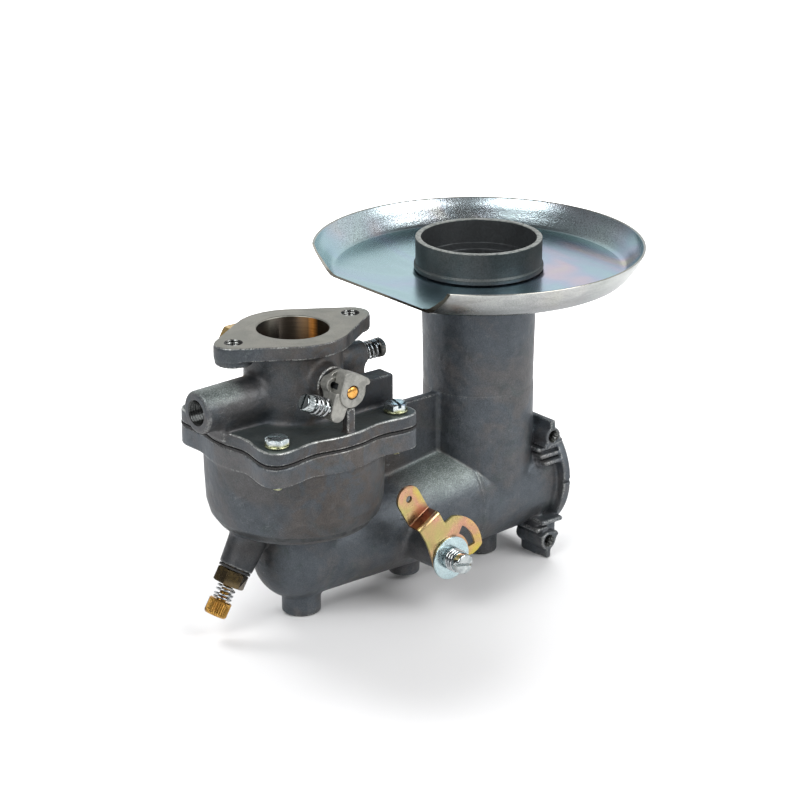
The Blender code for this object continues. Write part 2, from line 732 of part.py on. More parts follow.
idle_speed_screw = bar(
    "idle_speed_screw", idle_screw_at(0.0), idle_screw_at(3.8), 3.1, 3.3, seg=20, finish=ZINC
)
join(
    idle_speed_screw,
    bar("idle_speed_shank", idle_screw_at(3.0), idle_screw_at(20.4), 1.6, seg=14),
    bar("idle_speed_tip", idle_screw_at(20.0), idle_screw_at(20.7), 1.5, 0.9, seg=14),
)
slot_centre = idle_screw_at(-0.6)
slot_half = Vector((1.9, 5, 0.5))
cut(
    idle_speed_screw,
    block(
        "idle_speed_slot",
        slot_centre - slot_half,
        slot_centre + slot_half,
        turn=Matrix.Rotation(math.atan2(-IDLE_SCREW_DIR.z, IDLE_SCREW_DIR.x), 3, "Y"),
    ),
)
idle_speed_spring = coil(
    "idle_speed_spring",
    idle_screw_at(4.1),
    idle_screw_at(11.0),
    radius=3.4,
    wire=0.42,
    turns=4.2,
)

# ---- idle mixture needle ----------------------------------------------------------------------
idle_mixture_needle = turned(
    "idle_mixture_needle",
    [
        (0.0, 43.3),
        (3.5, 43.3),
        (3.9, 42.9),
        (3.9, 40.5),
        (2.2, 40.5),
        (2.2, 22.0),
        (1.6, 21.4),
        (0.4, 17.2),
        (0.0, 17.0),
    ],
    place=moved(z=MIXTURE_Z) @ Matrix.Rotation(math.pi / 2, 4, "Y"),
    seg=16,
    finish=PHOSPHATED,
)
cut(
    idle_mixture_needle,
    block("mixture_slot", (42.0, -6, MIXTURE_Z - 0.45), (46, 6, MIXTURE_Z + 0.45)),
)
coil(
    "idle_mixture_spring",
    (35.9, 0, MIXTURE_Z),
    (40.2, 0, MIXTURE_Z),
    radius=3.5,
    wire=0.42,
    turns=4.0,
)

# ---- main nozzle, needle valve and packing ----------------------------------------------------
# Heights in these profiles are distances down the nozzle's axis.
NOZZLE_FRAME = Matrix.Translation(NOZZLE_TOP * MM) @ z_towards(NOZZLE_DIR)

turned(
    "main_nozzle",
    [
        (1.2, 42.0),
        (2.0, 43.5),
        (2.0, 48.6),
        (2.75, 48.0),
        (2.75, 6.2),
        (2.3, 5.0),
        (1.2, 5.0),
    ],
    place=NOZZLE_FRAME,
    ring=True,
    seg=14,
    finish=BRASS,
)
turned(
    "packing_washer",
    [(4.9, 57.2), (6.5, 57.2), (6.5, 56.3), (4.9, 56.3)],
    place=NOZZLE_FRAME,
    ring=True,
    seg=16,
    finish=FIBRE,
)
packing_nut = bar("packing_nut", nozzle_at(57.5), nozzle_at(63.4), 6.4, seg=6, finish=DARK_BRASS)
join(packing_nut, bar("packing_nut_spigot", nozzle_at(50.4), nozzle_at(58.0), 4.4, seg=20))
cut(packing_nut, bar("packing_nut_bore", nozzle_at(48.0), nozzle_at(66.0), 2.25, seg=16))
main_needle = turned(
    "main_needle",
    [
        (0.0, 76.3),
        (4.4, 76.3),
        (4.9, 75.7),
        (4.9, 69.8),
        (1.9, 69.8),
        (1.9, 49.4),
        (1.6, 48.4),
        (0.3, 42.9),
        (0.0, 42.6),
    ],
    place=NOZZLE_FRAME,
    seg=18,
    finish=BRASS,
)
coil("needle_spring", nozzle_at(63.7), nozzle_at(69.5), radius=3.3, wire=0.45, turns=4.2)

# ---- float, hinge pin, inlet needle and seat --------------------------------------------------
float_ring = turned(
    "float",
    [(29.2, 69.6), (29.2, 57.5), (19.2, 57.5), (19.2, 69.6)],
    ring=True,
    seg=28,
    finish=BRASS,
)
join(
    float_ring,
    block("float_arm", (-27.2, -3.0, 69.0), (-20.4, 3.0, 73.4)),
    cross_bar("float_knuckle", HINGE_X, HINGE_Z, -5.9, 5.9, 2.1, seg=16),
    block("float_tang", (HINGE_X, -3.0, 72.3), (-21.0, 3.0, 73.6)),
)
cut(float_ring, cross_bar("float_pin_bore", HINGE_X, HINGE_Z, -9, 9, 1.2, seg=12))
cross_bar("float_hinge_pin", HINGE_X, HINGE_Z, -8.8, 8.8, 0.8, seg=12, finish=STEEL)
turned(
    "inlet_seat",
    [(3.6, 89.6), (3.6, 79.4), (2.6, 79.4), (2.6, 86.6), (1.3, 87.8), (1.3, 89.6)],
    place=moved(INLET_X),
    ring=True,
    seg=20,
    finish=BRASS,
)
inlet_needle = turned(
    "inlet_needle",
    [
        (0, 88.1),
        (0.5, 87.9),
        (1.9, 84.9),
        (2.2, 84.3),
        (2.2, 75.8),
        (1.0, 75.2),
        (1.0, 74.1),
        (0, 73.9),
    ],
    place=moved(INLET_X),
    seg=16,
    finish=STEEL,
)

# ---- choke shaft and plate --------------------------------------------------------------------
CHOKE_AXIS = (CHOKE_X, 0.0, CHOKE_Z)
CHOKE_SCREW_HALF = 8.0  # half the distance between the plate screws

choke_shaft = cross_bar("choke_shaft", 0, 0, -37.3, 21.4, CHOKE_SHAFT_R, seg=20, finish=BRASS)
cut(
    choke_shaft,
    block("choke_flat", (-5, -17.0, 0.0), (5, 17.0, 6)),
    cross_bar("choke_end_tapping", 0, 0, -40, -30.0, 1.9, seg=12),
    *screw_holes("choke_screw_hole", CHOKE_SCREW_HALF, -1.8, 1.35),
)
choke_plate = post("choke_plate", -CHOKE_OFFSET, 0, 0.3, 1.5, 15.8, seg=30, finish=ZINC)
cut(choke_plate, *screw_holes("choke_plate_hole", CHOKE_SCREW_HALF, -1, 1.4))
choke_pieces = [
    choke_shaft,
    choke_plate,
    *plate_screws("choke", CHOKE_SCREW_HALF, shank_low=-1.4),
]
move_to_frame(choke_pieces, moved(*CHOKE_AXIS))

# ---- choke lever: a hub plate and an arm whose end is set back towards the body ----------------
LEVER_THICKNESS = 1.2
HUB_Y = -37.6
ARM_END_Y = -31.4
ARM_ANGLE = math.radians(120.3)
ARM_ALONG = Vector((math.cos(ARM_ANGLE), math.sin(ARM_ANGLE)))
ARM_ACROSS = Vector((-ARM_ALONG.y, ARM_ALONG.x))
ARM_HALF = 5.5  # half the arm's width
JOG_START = 19.8
ARM_HOLE = 30.7
CHOKE_HOLE_R = 2.6


def on_arm(reach, side):
    """A point at a distance along the choke arm and to one side of it, in the lever's plane."""
    point = Vector((CHOKE_X, CHOKE_Z)) + ARM_ALONG * reach + ARM_ACROSS * side
    return (point.x, point.y)


def round_pivot(radius, degrees):
    angle = math.radians(degrees)
    return (CHOKE_X + radius * math.cos(angle), CHOKE_Z + radius * math.sin(angle))


hub_outline = [
    on_arm(JOG_START, -ARM_HALF),
    on_arm(14.0, -ARM_HALF),
    *(round_pivot(17.0, 84.0 - 8.0 * i) for i in range(11)),
    round_pivot(14.2, -6.0),
    round_pivot(11.4, -14.0),
    round_pivot(9.6, -12.0),
    *(round_pivot(8.0, -20.0 - 22.0 * i) for i in range(8)),
    on_arm(10.0, ARM_HALF + 0.6),
    on_arm(14.0, ARM_HALF),
    on_arm(JOG_START, ARM_HALF),
]
arc_slot_outline = [
    *(round_pivot(13.4, 10.0 + 8.5 * i) for i in range(7)),
    *(round_pivot(9.9, 61.0 - 8.5 * i) for i in range(7)),
]
end_angles = [math.pi * i / 12 for i in range(13)]
arm_end_outline = [
    on_arm(JOG_START + 0.4, ARM_HALF),
    on_arm(JOG_START + 0.4, -ARM_HALF),
    *(on_arm(ARM_HOLE + ARM_HALF * math.sin(a), -ARM_HALF * math.cos(a)) for a in end_angles),
]
jog_outline = [
    on_arm(JOG_START - 0.3, ARM_HALF),
    on_arm(JOG_START - 0.3, -ARM_HALF),
    on_arm(JOG_START + 0.9, -ARM_HALF),
    on_arm(JOG_START + 0.9, ARM_HALF),
]
choke_lever = slab(
    "choke_lever",
    [hub_outline, arc_slot_outline, circle(CHOKE_X, CHOKE_Z, CHOKE_HOLE_R, 16)],
    0.0,
    LEVER_THICKNESS,
    place=front_plane(HUB_Y),
    finish=GOLD,
)
join(
    choke_lever,
    slab(
        "arm_end",
        [arm_end_outline, circle(*on_arm(ARM_HOLE, 0), 1.7, 12)],
        0.0,
        LEVER_THICKNESS,
        place=front_plane(ARM_END_Y),
    ),
    slab(
        "arm_jog",
        [jog_outline],
        0.0,
        abs(HUB_Y - ARM_END_Y) + LEVER_THICKNESS,
        place=front_plane(ARM_END_Y),
    ),
)

# ---- choke washer, spring and screw, in front of the lever -------------------------------------
choke_washer = cross_bar(
    "choke_washer", CHOKE_X, CHOKE_Z, -39.1, -40.2, 8.8, seg=28, finish=ZINC
)
cut(choke_washer, cross_bar("washer_hole", CHOKE_X, CHOKE_Z, -45, -36, CHOKE_HOLE_R, seg=16))
choke_spring = coil(
    "choke_spring",
    (CHOKE_X, -40.5, CHOKE_Z),
    (CHOKE_X, -44.9, CHOKE_Z),
    radius=3.4,
    wire=0.45,
    turns=3.6,
)
choke_screw = cross_bar(
    "choke_screw", CHOKE_X, CHOKE_Z, -45.2, -48.4, 4.2, 4.0, seg=24, finish=ZINC
)
join(choke_screw, cross_bar("choke_screw_shank", CHOKE_X, CHOKE_Z, -31.0, -46.0, 1.6, seg=14))
cut(
    choke_screw,
    block(
        "choke_screw_slot",
        (CHOKE_X - 6, -49.5, CHOKE_Z - 0.55),
        (CHOKE_X + 6, -47.0, CHOKE_Z + 0.55),
        turn=Matrix.Rotation(math.radians(12), 3, "Y"),
    ),
)

# ---- moving pieces hang from empties on their joints' axes ------------------------------------
throttle_pieces += [throttle_stop_lever, throttle_shaft_nut, idle_speed_spring]
choke_pieces += [choke_lever, choke_washer, choke_spring, choke_screw]
turn_about("throttle_axis", THROTTLE_AXIS, throttle_pieces)
turn_about("idle_speed_axis", IDLE_SCREW_START, [idle_speed_screw])
turn_about("idle_mixture_axis", (30.0, 0.0, MIXTURE_Z), [idle_mixture_needle])
turn_about("main_needle_axis", nozzle_at(60.0), [main_needle])
turn_about("float_axis", (HINGE_X, 0.0, HINGE_Z), [float_ring])
turn_about("inlet_needle_axis", (INLET_X, 0.0, 80.0), [inlet_needle])
turn_about("choke_axis", CHOKE_AXIS, choke_pieces)

for made in parts.objects:
    if made.type == "MESH":
        made.data.shade_smooth()
        made.data.set_sharp_from_angle(angle=SMOOTH_ANGLE)
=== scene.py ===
import math

import bmesh
import bpy
import numpy as np
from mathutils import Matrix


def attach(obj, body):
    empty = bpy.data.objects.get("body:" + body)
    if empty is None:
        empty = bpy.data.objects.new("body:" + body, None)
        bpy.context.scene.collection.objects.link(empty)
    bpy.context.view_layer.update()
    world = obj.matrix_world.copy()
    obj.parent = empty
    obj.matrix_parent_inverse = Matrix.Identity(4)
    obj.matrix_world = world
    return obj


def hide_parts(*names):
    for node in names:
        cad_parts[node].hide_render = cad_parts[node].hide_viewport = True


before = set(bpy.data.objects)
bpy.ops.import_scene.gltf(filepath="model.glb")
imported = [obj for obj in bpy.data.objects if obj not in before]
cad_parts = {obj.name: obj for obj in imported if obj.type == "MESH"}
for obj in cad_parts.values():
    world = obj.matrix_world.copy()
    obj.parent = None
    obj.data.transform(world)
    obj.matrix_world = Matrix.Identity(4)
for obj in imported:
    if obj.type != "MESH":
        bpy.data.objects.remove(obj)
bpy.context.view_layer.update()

import openvdb as vdb
from mathutils import Matrix, Vector

MM = 0.001
ROOT = "carburetor_body"

# ---- dimensions in millimetres, as in the CAD part --------------------------------------------
FLANGE_TOP, FLANGE_MID_T, STUD_HALF, STUD_HOLE_R, THROAT_R, NECK_R = 118.5, 5.6, 28.0, 3.4, 14.0, 19.2
COVER_TOP, COVER_LOW, GASKET_TOP, GASKET_LOW, BODY_TOP, BAND_LOW = 85.4, 80.2, 79.95, 79.25, 79.0, 71.2
BOWL_R, LUG_R, COVER_SCREW_R = 35.8, 8.0, 2.3
SCREW_XY = ((-29.2, -28.0), (28.6, -27.0), (27.5, 25.0), (-26.4, 24.0))
THROTTLE_Z, SHAFT_R, THROTTLE_TILT, MIXTURE_Z = 102.4, 3.175, 12.0, 101.2
FUEL_Z, FUEL_R, FUEL_END_X = 94.5, 8.4, -45.9
ELBOW_Z, ELBOW_R, BARREL_R, TUBE_X, TUBE_TOP, TUBE_BORE_R = 24.0, 17.0, 22.3, 93.6, 122.5, 19.6
FOOT_R, FOOT_X = 7.75, 2.4
PAN_LOW, PAN_T, PAN_FLOOR_R, PAN_RIM_R, PAN_RIM_Z, PAN_CHORD = 122.8, 1.1, 58.0, 66.8, 133.8, 51.3
COLLAR_TOP, COLLAR_R, COLLAR_BORE_R = 136.8, 25.4, 23.15
CHOKE_X, CHOKE_Z, CHOKE_SHAFT_R, CHOKE_OFFSET = 46.3, 23.4, 3.0, 2.6
NOZZLE_TOP = Vector((0.0, 0.0, 74.6))
NOZZLE_TILT = math.radians(31.5)
NOZZLE_DIR = Vector((-math.sin(NOZZLE_TILT), 0.0, -math.cos(NOZZLE_TILT)))


def along(distance):
    return NOZZLE_TOP + NOZZLE_DIR * distance


# ---- mesh helpers -----------------------------------------------------------------------------
def link(name, mesh):
    made = bpy.data.objects.new(name, mesh)
    bpy.context.scene.collection.objects.link(made)
    return made


def mesh_from(name, points, faces):
    """A mesh object in metres from points in millimetres, with its normals outward."""
    mesh = bpy.data.meshes.new(name)
    mesh.from_pydata([tuple(p) for p in np.asarray(points) * MM], [], [tuple(f) for f in faces])
    bm = bmesh.new()
    bm.from_mesh(mesh)
    bmesh.ops.remove_doubles(bm, verts=bm.verts, dist=1e-7)
    bmesh.ops.recalc_face_normals(bm, faces=bm.faces)
    bm.to_mesh(mesh)
    bm.free()
    return link(name, mesh)


def aim(start, end):
    """The matrix, in millimetres, whose +Z runs from start towards end and whose origin is start."""
    start, end = Vector(start), Vector(end)
    return Matrix.Translation(start) @ (end - start).to_track_quat("Z", "Y").to_matrix().to_4x4()


def at(x, y, z):
    return Matrix.Translation((x, y, z))


def soft(points, radius, closed=False, steps=3, least=18.0):
    """Rounds the corners of a polyline."""
    pts = [Vector(p) for p in points]
    count = len(pts)
    out = []
    for i, p in enumerate(pts):
        if not closed and i in (0, count - 1):
            out.append(tuple(p))
            continue
        a, b = pts[i - 1] - p, pts[(i + 1) % count] - p
        if a.length < 1e-6 or b.length < 1e-6:
            continue
        bend = math.degrees(math.pi - a.angle(b))
        if bend < least:
            out.append(tuple(p))
            continue
        d = min(radius, a.length * 0.45, b.length * 0.45)
        p0, p1 = p + a.normalized() * d, p + b.normalized() * d
        for k in range(steps + 1):
            t = k / steps
            out.append(tuple(p0 * (1 - t) ** 2 + p * 2 * t * (1 - t) + p1 * t * t))
    return out


def revolve(name, profile, seg=64, place=None, ring=False, ripple=None):
    """A (radius, height) profile turned about +Z and placed. ripple(r, z, angle) changes the radius."""
    matrix = place or Matrix.Identity(4)
    points, rows = [], []
    angles = [2 * math.pi * k / seg for k in range(seg)]
    for r, z in profile:
        if r < 1e-6:
            rows.append([len(points)])
            points.append(matrix @ Vector((0, 0, z)))
            continue
        rows.append(list(range(len(points), len(points) + seg)))
        for t in angles:
            q = r if ripple is None else ripple(r, z, t)
            points.append(matrix @ Vector((q * math.cos(t), q * math.sin(t), z)))
    faces = []
    count = len(rows)
    for i in range(count if ring else count - 1):
        a, b = rows[i], rows[(i + 1) % count]
        if len(a) == 1 and len(b) == 1:
            continue
        for k in range(seg):
            n = (k + 1) % seg
            if len(a) == 1:
                faces.append((a[0], b[n], b[k]))
            elif len(b) == 1:
                faces.append((a[k], a[n], b[0]))
            else:
                faces.append((a[k], a[n], b[n], b[k]))
    if not ring:
        for row in (rows[0], rows[-1]):
            if len(row) > 1:
                faces.append(tuple(row))
    return mesh_from(name, points, faces)


def circle(x, y, radius, seg=48, start=0.0):
    return [
        (x + radius * math.cos(start + 2 * math.pi * i / seg), y + radius * math.sin(start + 2 * math.pi * i / seg))
        for i in range(seg)
    ]


def area_of(outline):
    return sum(a[0] * b[1] - b[0] * a[1] for a, b in zip(outline, outline[1:] + outline[:1])) / 2


def prism(name, outlines, low, high, place=None, bevel=0.0):
    """Closed outlines filled and given a thickness along +Z, with rounded rims."""
    curve = bpy.data.curves.new(name, "CURVE")
    curve.dimensions = "2D"
    curve.fill_mode = "BOTH"
    curve.extrude = ((high - low) / 2 - bevel) * MM
    curve.bevel_depth = bevel * MM
    curve.bevel_resolution = 2
    curve.offset = -bevel * MM
    for k, outline in enumerate(outlines):
        outline = list(outline)
        if (area_of(outline) > 0) != (k == 0):
            outline.reverse()
        spline = curve.splines.new("POLY")
        spline.points.add(len(outline) - 1)
        for point, (x, y) in zip(spline.points, outline):
            point.co = (x * MM, y * MM, 0.0, 1.0)
        spline.use_cyclic_u = True
    temp = link(name + "_curve", curve)
    bpy.context.view_layer.update()
    mesh = bpy.data.meshes.new_from_object(temp.evaluated_get(bpy.context.evaluated_depsgraph_get()))
    bpy.data.objects.remove(temp, do_unlink=True)
    mesh.materials.clear()
    mesh.transform(Matrix.Translation((0, 0, (low + high) / 2 * MM)))
    if place is not None:
        metres = place.copy()
        metres.translation = place.translation * MM
        mesh.transform(metres)
    bm = bmesh.new()
    bm.from_mesh(mesh)
    bmesh.ops.remove_doubles(bm, verts=bm.verts, dist=1e-6)
    bmesh.ops.recalc_face_normals(bm, faces=bm.faces)
    bm.to_mesh(mesh)
    bm.free()
    return link(name, mesh)


def rod(name, start, end, r0, r1=None, seg=48):
    length = (Vector(end) - Vector(start)).length
    return revolve(name, [(0, 0), (r0, 0), (r0 if r1 is None else r1, length), (0, length)], seg, aim(start, end))


def brick(name, low, high, turn=None):
    low, high = Vector(low), Vector(high)
    half = (high - low) / 2
    spin = (turn or Matrix.Identity(3)).to_4x4()
    matrix = Matrix.Translation((low + high) / 2) @ spin
    pts = [matrix @ Vector((sx * half.x, sy * half.y, sz * half.z)) for sx in (-1, 1) for sy in (-1, 1) for sz in (-1, 1)]
    faces = [(0, 1, 3, 2), (4, 6, 7, 5), (0, 4, 5, 1), (2, 3, 7, 6), (0, 2, 6, 4), (1, 5, 7, 3)]
    return mesh_from(name, pts, faces)


def bake(made):
    """Applies every modifier."""
    bpy.context.view_layer.update()
    mesh = bpy.data.meshes.new_from_object(made.evaluated_get(bpy.context.evaluated_depsgraph_get()))
    made.modifiers.clear()
    made.data = mesh
    return made


def combine(target, others, operation="DIFFERENCE", solver="EXACT"):
    for other in others:
        modifier = target.modifiers.new("op", "BOOLEAN")
        modifier.operation, modifier.solver, modifier.object = operation, solver, other
    bake(target)
    for other in others:
        bpy.data.objects.remove(other, do_unlink=True)
    return target


def rim(made, width, segments=2, angle=38.0):
    """Small rounded rims on every sharp edge."""
    modifier = made.modifiers.new("rim", "BEVEL")
    modifier.width, modifier.segments = width * MM, segments
    modifier.limit_method, modifier.angle_limit = "ANGLE", math.radians(angle)
    modifier.miter_outer = "MITER_ARC"
    modifier.harden_normals = False
    return bake(made)


def shade(made, angle=38.0):
    made.data.shade_smooth()
    made.data.set_sharp_from_angle(angle=math.radians(angle))
    return made


def give(made, body, nodes, materials):
    """Puts a finished piece on its body, in place of its CAD nodes."""
    made.data.materials.clear()
    for m in materials:
        made.data.materials.append(m)
    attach(made, body)
    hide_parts(*nodes)
    return made


def coil(name, start, end, radius, wire, turns, per_turn=40, flat=0.75, hand=1, taper=0.0):
    """A compression spring of round wire with closed end turns."""
    start, end = Vector(start), Vector(end)
    length = (end - start).length
    count = int(turns * per_turn)
    gap_end = 2.04 * wire / per_turn
    flat_steps = int(flat * per_turn)
    rest = (length - 2 * wire - 2 * flat_steps * gap_end) / (count - 2 * flat_steps)
    centre, height = [], wire
    for i in range(count + 1):
        angle = hand * 2 * math.pi * i / per_turn
        reach = radius + taper * i / count
        centre.append(Vector((reach * math.cos(angle), reach * math.sin(angle), height)))
        height += gap_end if i < flat_steps or i >= count - flat_steps else rest
    sides = 10
    matrix = aim(start, end)
    points, faces = [], []
    for i, c in enumerate(centre):
        tangent = (centre[min(i + 1, count)] - centre[max(i - 1, 0)]).normalized()
        outward = Vector((c.x, c.y, 0)).normalized()
        up = tangent.cross(outward).normalized()
        outward = up.cross(tangent).normalized()
        for k in range(sides):
            a = 2 * math.pi * k / sides
            points.append(matrix @ (c + (outward * math.cos(a) + up * math.sin(a)) * wire))
    for i in range(count):
        for k in range(sides):
            n = (k + 1) % sides
            faces.append((i * sides + k, i * sides + n, (i + 1) * sides + n, (i + 1) * sides + k))
    faces.append(tuple(range(sides)))
    faces.append(tuple(count * sides + k for k in range(sides)))
    return shade(mesh_from(name, points, faces), 50)


def thread_ripple(pitch, depth, z0, z1, least):
    def ripple(r, z, t):
        if r < least or z < z0 or z > z1:
            return r
        phase = (z / pitch - t / (2 * math.pi)) % 1.0
        ease = min(1.0, (z - z0) / pitch, (z1 - z) / pitch)
        return r - depth * ease * (1 - abs(2 * phase - 1)) ** 0.8

    return ripple


def thread_profile(r, z0, z1, pitch, per=7):
    steps = max(2, int(abs(z1 - z0) / pitch * per))
    return [(r, z0 + (z1 - z0) * i / steps) for i in range(steps + 1)]


def threaded_hole(name, start, end, r, pitch, depth, lead=0.5, seg=32):
    """A cutter for a tapped hole: V grooves and a lead-in chamfer at its start."""
    length = (Vector(end) - Vector(start)).length
    profile = [(0, -0.6), (r + lead + 0.6, -0.6), (r + lead, 0.0), (r + 0.05, lead)]
    z = lead + 0.1
    while z + pitch < length:
        profile += [(r, z), (r + depth, z + pitch * 0.5)]
        z += pitch
    profile += [(r, z), (r, length), (0, length)]
    return revolve(name, profile, seg, aim(start, end))


# ---- a distance field for the cast shapes, in millimetres ----------------------------------------
def polygon_distance(px, py, outline):
    """The signed distance from arrays of points to a closed outline."""
    best = np.full(np.broadcast(px, py).shape, 1e9, np.float64)
    inside = np.zeros(best.shape, bool)
    for (x0, y0), (x1, y1) in zip(outline, list(outline[1:]) + [outline[0]]):
        ex, ey = x1 - x0, y1 - y0
        wx, wy = px - x0, py - y0
        t = np.clip((wx * ex + wy * ey) / max(ex * ex + ey * ey, 1e-12), 0, 1)
        best = np.minimum(best, (wx - ex * t) ** 2 + (wy - ey * t) ** 2)
        crosses = (y0 > py) != (y1 > py)
        if abs(ey) > 1e-12:
            inside ^= crosses & (px < ex * (py - y0) / ey + x0)
    return np.where(inside, -1.0, 1.0) * np.sqrt(best)


def rounded(radial, axial, edge):
    outer = np.sqrt(np.maximum(radial + edge, 0) ** 2 + np.maximum(axial + edge, 0) ** 2)
    return outer + np.minimum(np.maximum(radial, axial) + edge, 0) - edge


def s_rod(start, end, r0, r1=None, edge=0.4):
    p, q = np.array(start, float), np.array(end, float)
    r1 = r0 if r1 is None else r1
    length = np.linalg.norm(q - p)
    u = (q - p) / length
    slope = (r1 - r0) / length
    squeeze = 1 / math.sqrt(1 + slope * slope)

    def fn(x, y, z):
        dx, dy, dz = x - p[0], y - p[1], z - p[2]
        t = dx * u[0] + dy * u[1] + dz * u[2]
        across = np.sqrt(np.maximum(dx * dx + dy * dy + dz * dz - t * t, 0))
        return rounded((across - (r0 + slope * t)) * squeeze, np.abs(t - length / 2) - length / 2, edge)

    big = max(r0, r1)
    return fn, np.minimum(p, q) - big, np.maximum(p, q) + big


def s_ball(centre, radius):
    c = np.array(centre, float)

    def fn(x, y, z):
        return np.sqrt((x - c[0]) ** 2 + (y - c[1]) ** 2 + (z - c[2]) ** 2) - radius

    return fn, c - radius, c + radius


def s_brick(low, high, edge=0.5):
    low, high = np.array(low, float), np.array(high, float)
    c, h = (low + high) / 2, (high - low) / 2

    def fn(x, y, z):
        qx, qy, qz = np.abs(x - c[0]) - h[0] + edge, np.abs(y - c[1]) - h[1] + edge, np.abs(z - c[2]) - h[2] + edge
        outer = np.sqrt(np.maximum(qx, 0) ** 2 + np.maximum(qy, 0) ** 2 + np.maximum(qz, 0) ** 2)
        return outer + np.minimum(np.maximum(np.maximum(qx, qy), qz), 0) - edge

    return fn, low, high


def s_turned(profile, cx=0.0, cy=0.0):
    big = max(r for r, _ in profile)
    zs = [z for _, z in profile]
    mirrored = list(profile) + [(-r, z) for r, z in reversed(profile)]

    def fn(x, y, z):
        across = np.sqrt((x - cx) ** 2 + (y - cy) ** 2)[:, :, 0]
        grid = np.arange(0, across.max() + 0.4, 0.15)
        table = polygon_distance(grid[:, None], z.reshape(1, -1).astype(float), mirrored).astype(np.float32)
        i = np.minimum((across / 0.15).astype(int), len(grid) - 2)
        f = (across / 0.15 - i)[:, :, None]
        return table[i] * (1 - f) + table[i + 1] * f

    return fn, np.array((cx - big, cy - big, min(zs))), np.array((cx + big, cy + big, max(zs)))


def s_plate(outline, axis, low, high, edge=0.35):
    """An outline given a thickness along Z (outline in x, y) or along Y (outline in x, z)."""
    a = np.array(outline, float)

    def fn(x, y, z):
        if axis == "Z":
            flat = polygon_distance(x[:, :, 0] + 0 * y[:, :, 0], y[:, :, 0] + 0 * x[:, :, 0], outline)[:, :, None]
            slab = np.abs(z - (low + high) / 2) - (high - low) / 2
        else:
            flat = polygon_distance(x[:, 0, :] + 0 * z[:, 0, :], z[:, 0, :] + 0 * x[:, 0, :], outline)[:, None, :]
            slab = np.abs(y - (low + high) / 2) - (high - low) / 2
        return rounded(flat.astype(np.float32), slab, edge)

    if axis == "Z":
        return fn, np.array((a[:, 0].min(), a[:, 1].min(), low)), np.array((a[:, 0].max(), a[:, 1].max(), high))
    return fn, np.array((a[:, 0].min(), low, a[:, 1].min())), np.array((a[:, 0].max(), high, a[:, 1].max()))


class Field:
    def __init__(self, low, high, step):
        self.low, self.step = np.array(low, float), step
        count = np.ceil((np.array(high) - self.low) / step).astype(int) + 1
        self.value = np.full(count, 15.0, np.float32)
        self.axes = [(self.low[i] + step * np.arange(count[i])).astype(np.float32) for i in range(3)]

    def window(self, low, high, margin):
        spans, axes = [], []
        for i in range(3):
            a = max(0, int(math.floor((low[i] - margin - self.low[i]) / self.step)))
            b = min(self.value.shape[i], int(math.ceil((high[i] + margin - self.low[i]) / self.step)) + 1)
            spans.append(slice(a, b))
            shape = [1, 1, 1]
            shape[i] = -1
            axes.append(self.axes[i][a:b].reshape(shape))
        return tuple(spans), axes

    def add(self, shape, k=1.0):
        fn, low, high = shape
        spans, axes = self.window(low, high, k + 2.0)
        d, a = fn(*axes).astype(np.float32), self.value[spans]
        h = np.maximum(k - np.abs(a - d), 0) / k
        self.value[spans] = np.minimum(a, d) - h * h * (k * 0.25)

    def cut(self, shape, k=0.5):
        fn, low, high = shape
        spans, axes = self.window(low, high, k + 2.0)
        d, a = -fn(*axes).astype(np.float32), self.value[spans]
        h = np.maximum(k - np.abs(a - d), 0) / k
        self.value[spans] = np.maximum(a, d) + h * h * (k * 0.25)

    def skin(self, name, smoothing=1):
        band = 3 * self.step
        grid = vdb.FloatGrid(band)
        grid.copyFromArray(np.clip(self.value, -band, band))
        points, quads = grid.convertToQuads(0.0)
        points = points.astype(np.float64) * self.step + self.low
        tri = points[quads[:, :3]]
        volume = np.einsum("ij,ij->i", tri[:, 0], np.cross(tri[:, 1], tri[:, 2])).sum()
        if volume < 0:
            quads = quads[:, ::-1]
        mesh = bpy.data.meshes.new(name)
        mesh.vertices.add(len(points))
        mesh.vertices.foreach_set("co", (points * MM).astype(np.float32).ravel())
        mesh.loops.add(len(quads) * 4)
        mesh.loops.foreach_set("vertex_index", quads.astype(np.int32).ravel())
        mesh.polygons.add(len(quads))
        mesh.polygons.foreach_set("loop_start", np.arange(0, len(quads) * 4, 4, dtype=np.int32))
        mesh.update(calc_edges=True)
        mesh.validate()
        made = link(name, mesh)
        if smoothing:
            modifier = made.modifiers.new("settle", "SMOOTH")
            modifier.factor, modifier.iterations = 0.5, smoothing
            bake(made)
        return made

    def wear(self, made):
        """Stores how sharply the surface turns outward as the attribute wear."""
        band = 3 * self.step
        v = np.clip(self.value, -band, band)
        bend = np.zeros_like(v)
        bend[1:-1, 1:-1, 1:-1] = (
            v[2:, 1:-1, 1:-1] + v[:-2, 1:-1, 1:-1] + v[1:-1, 2:, 1:-1]
            + v[1:-1, :-2, 1:-1] + v[1:-1, 1:-1, 2:] + v[1:-1, 1:-1, :-2] - 6 * v[1:-1, 1:-1, 1:-1]
        ) / self.step**2
        count = len(made.data.vertices)
        co = np.zeros(count * 3, np.float32)
        made.data.vertices.foreach_get("co", co)
        g = (co.reshape(-1, 3) / MM - self.low) / self.step
        g = np.clip(g, 0, np.array(v.shape) - 1.001)
        i = g.astype(int)
        f = g - i
        total = np.zeros(count)
        for a in (0, 1):
            for b in (0, 1):
                for c in (0, 1):
                    w = (f[:, 0] if a else 1 - f[:, 0]) * (f[:, 1] if b else 1 - f[:, 1]) * (f[:, 2] if c else 1 - f[:, 2])
                    total += w * bend[i[:, 0] + a, i[:, 1] + b, i[:, 2] + c]
        attribute = made.data.attributes.new("wear", "FLOAT", "POINT")
        attribute.data.foreach_set("value", np.clip(total, -1, 2).astype(np.float32))


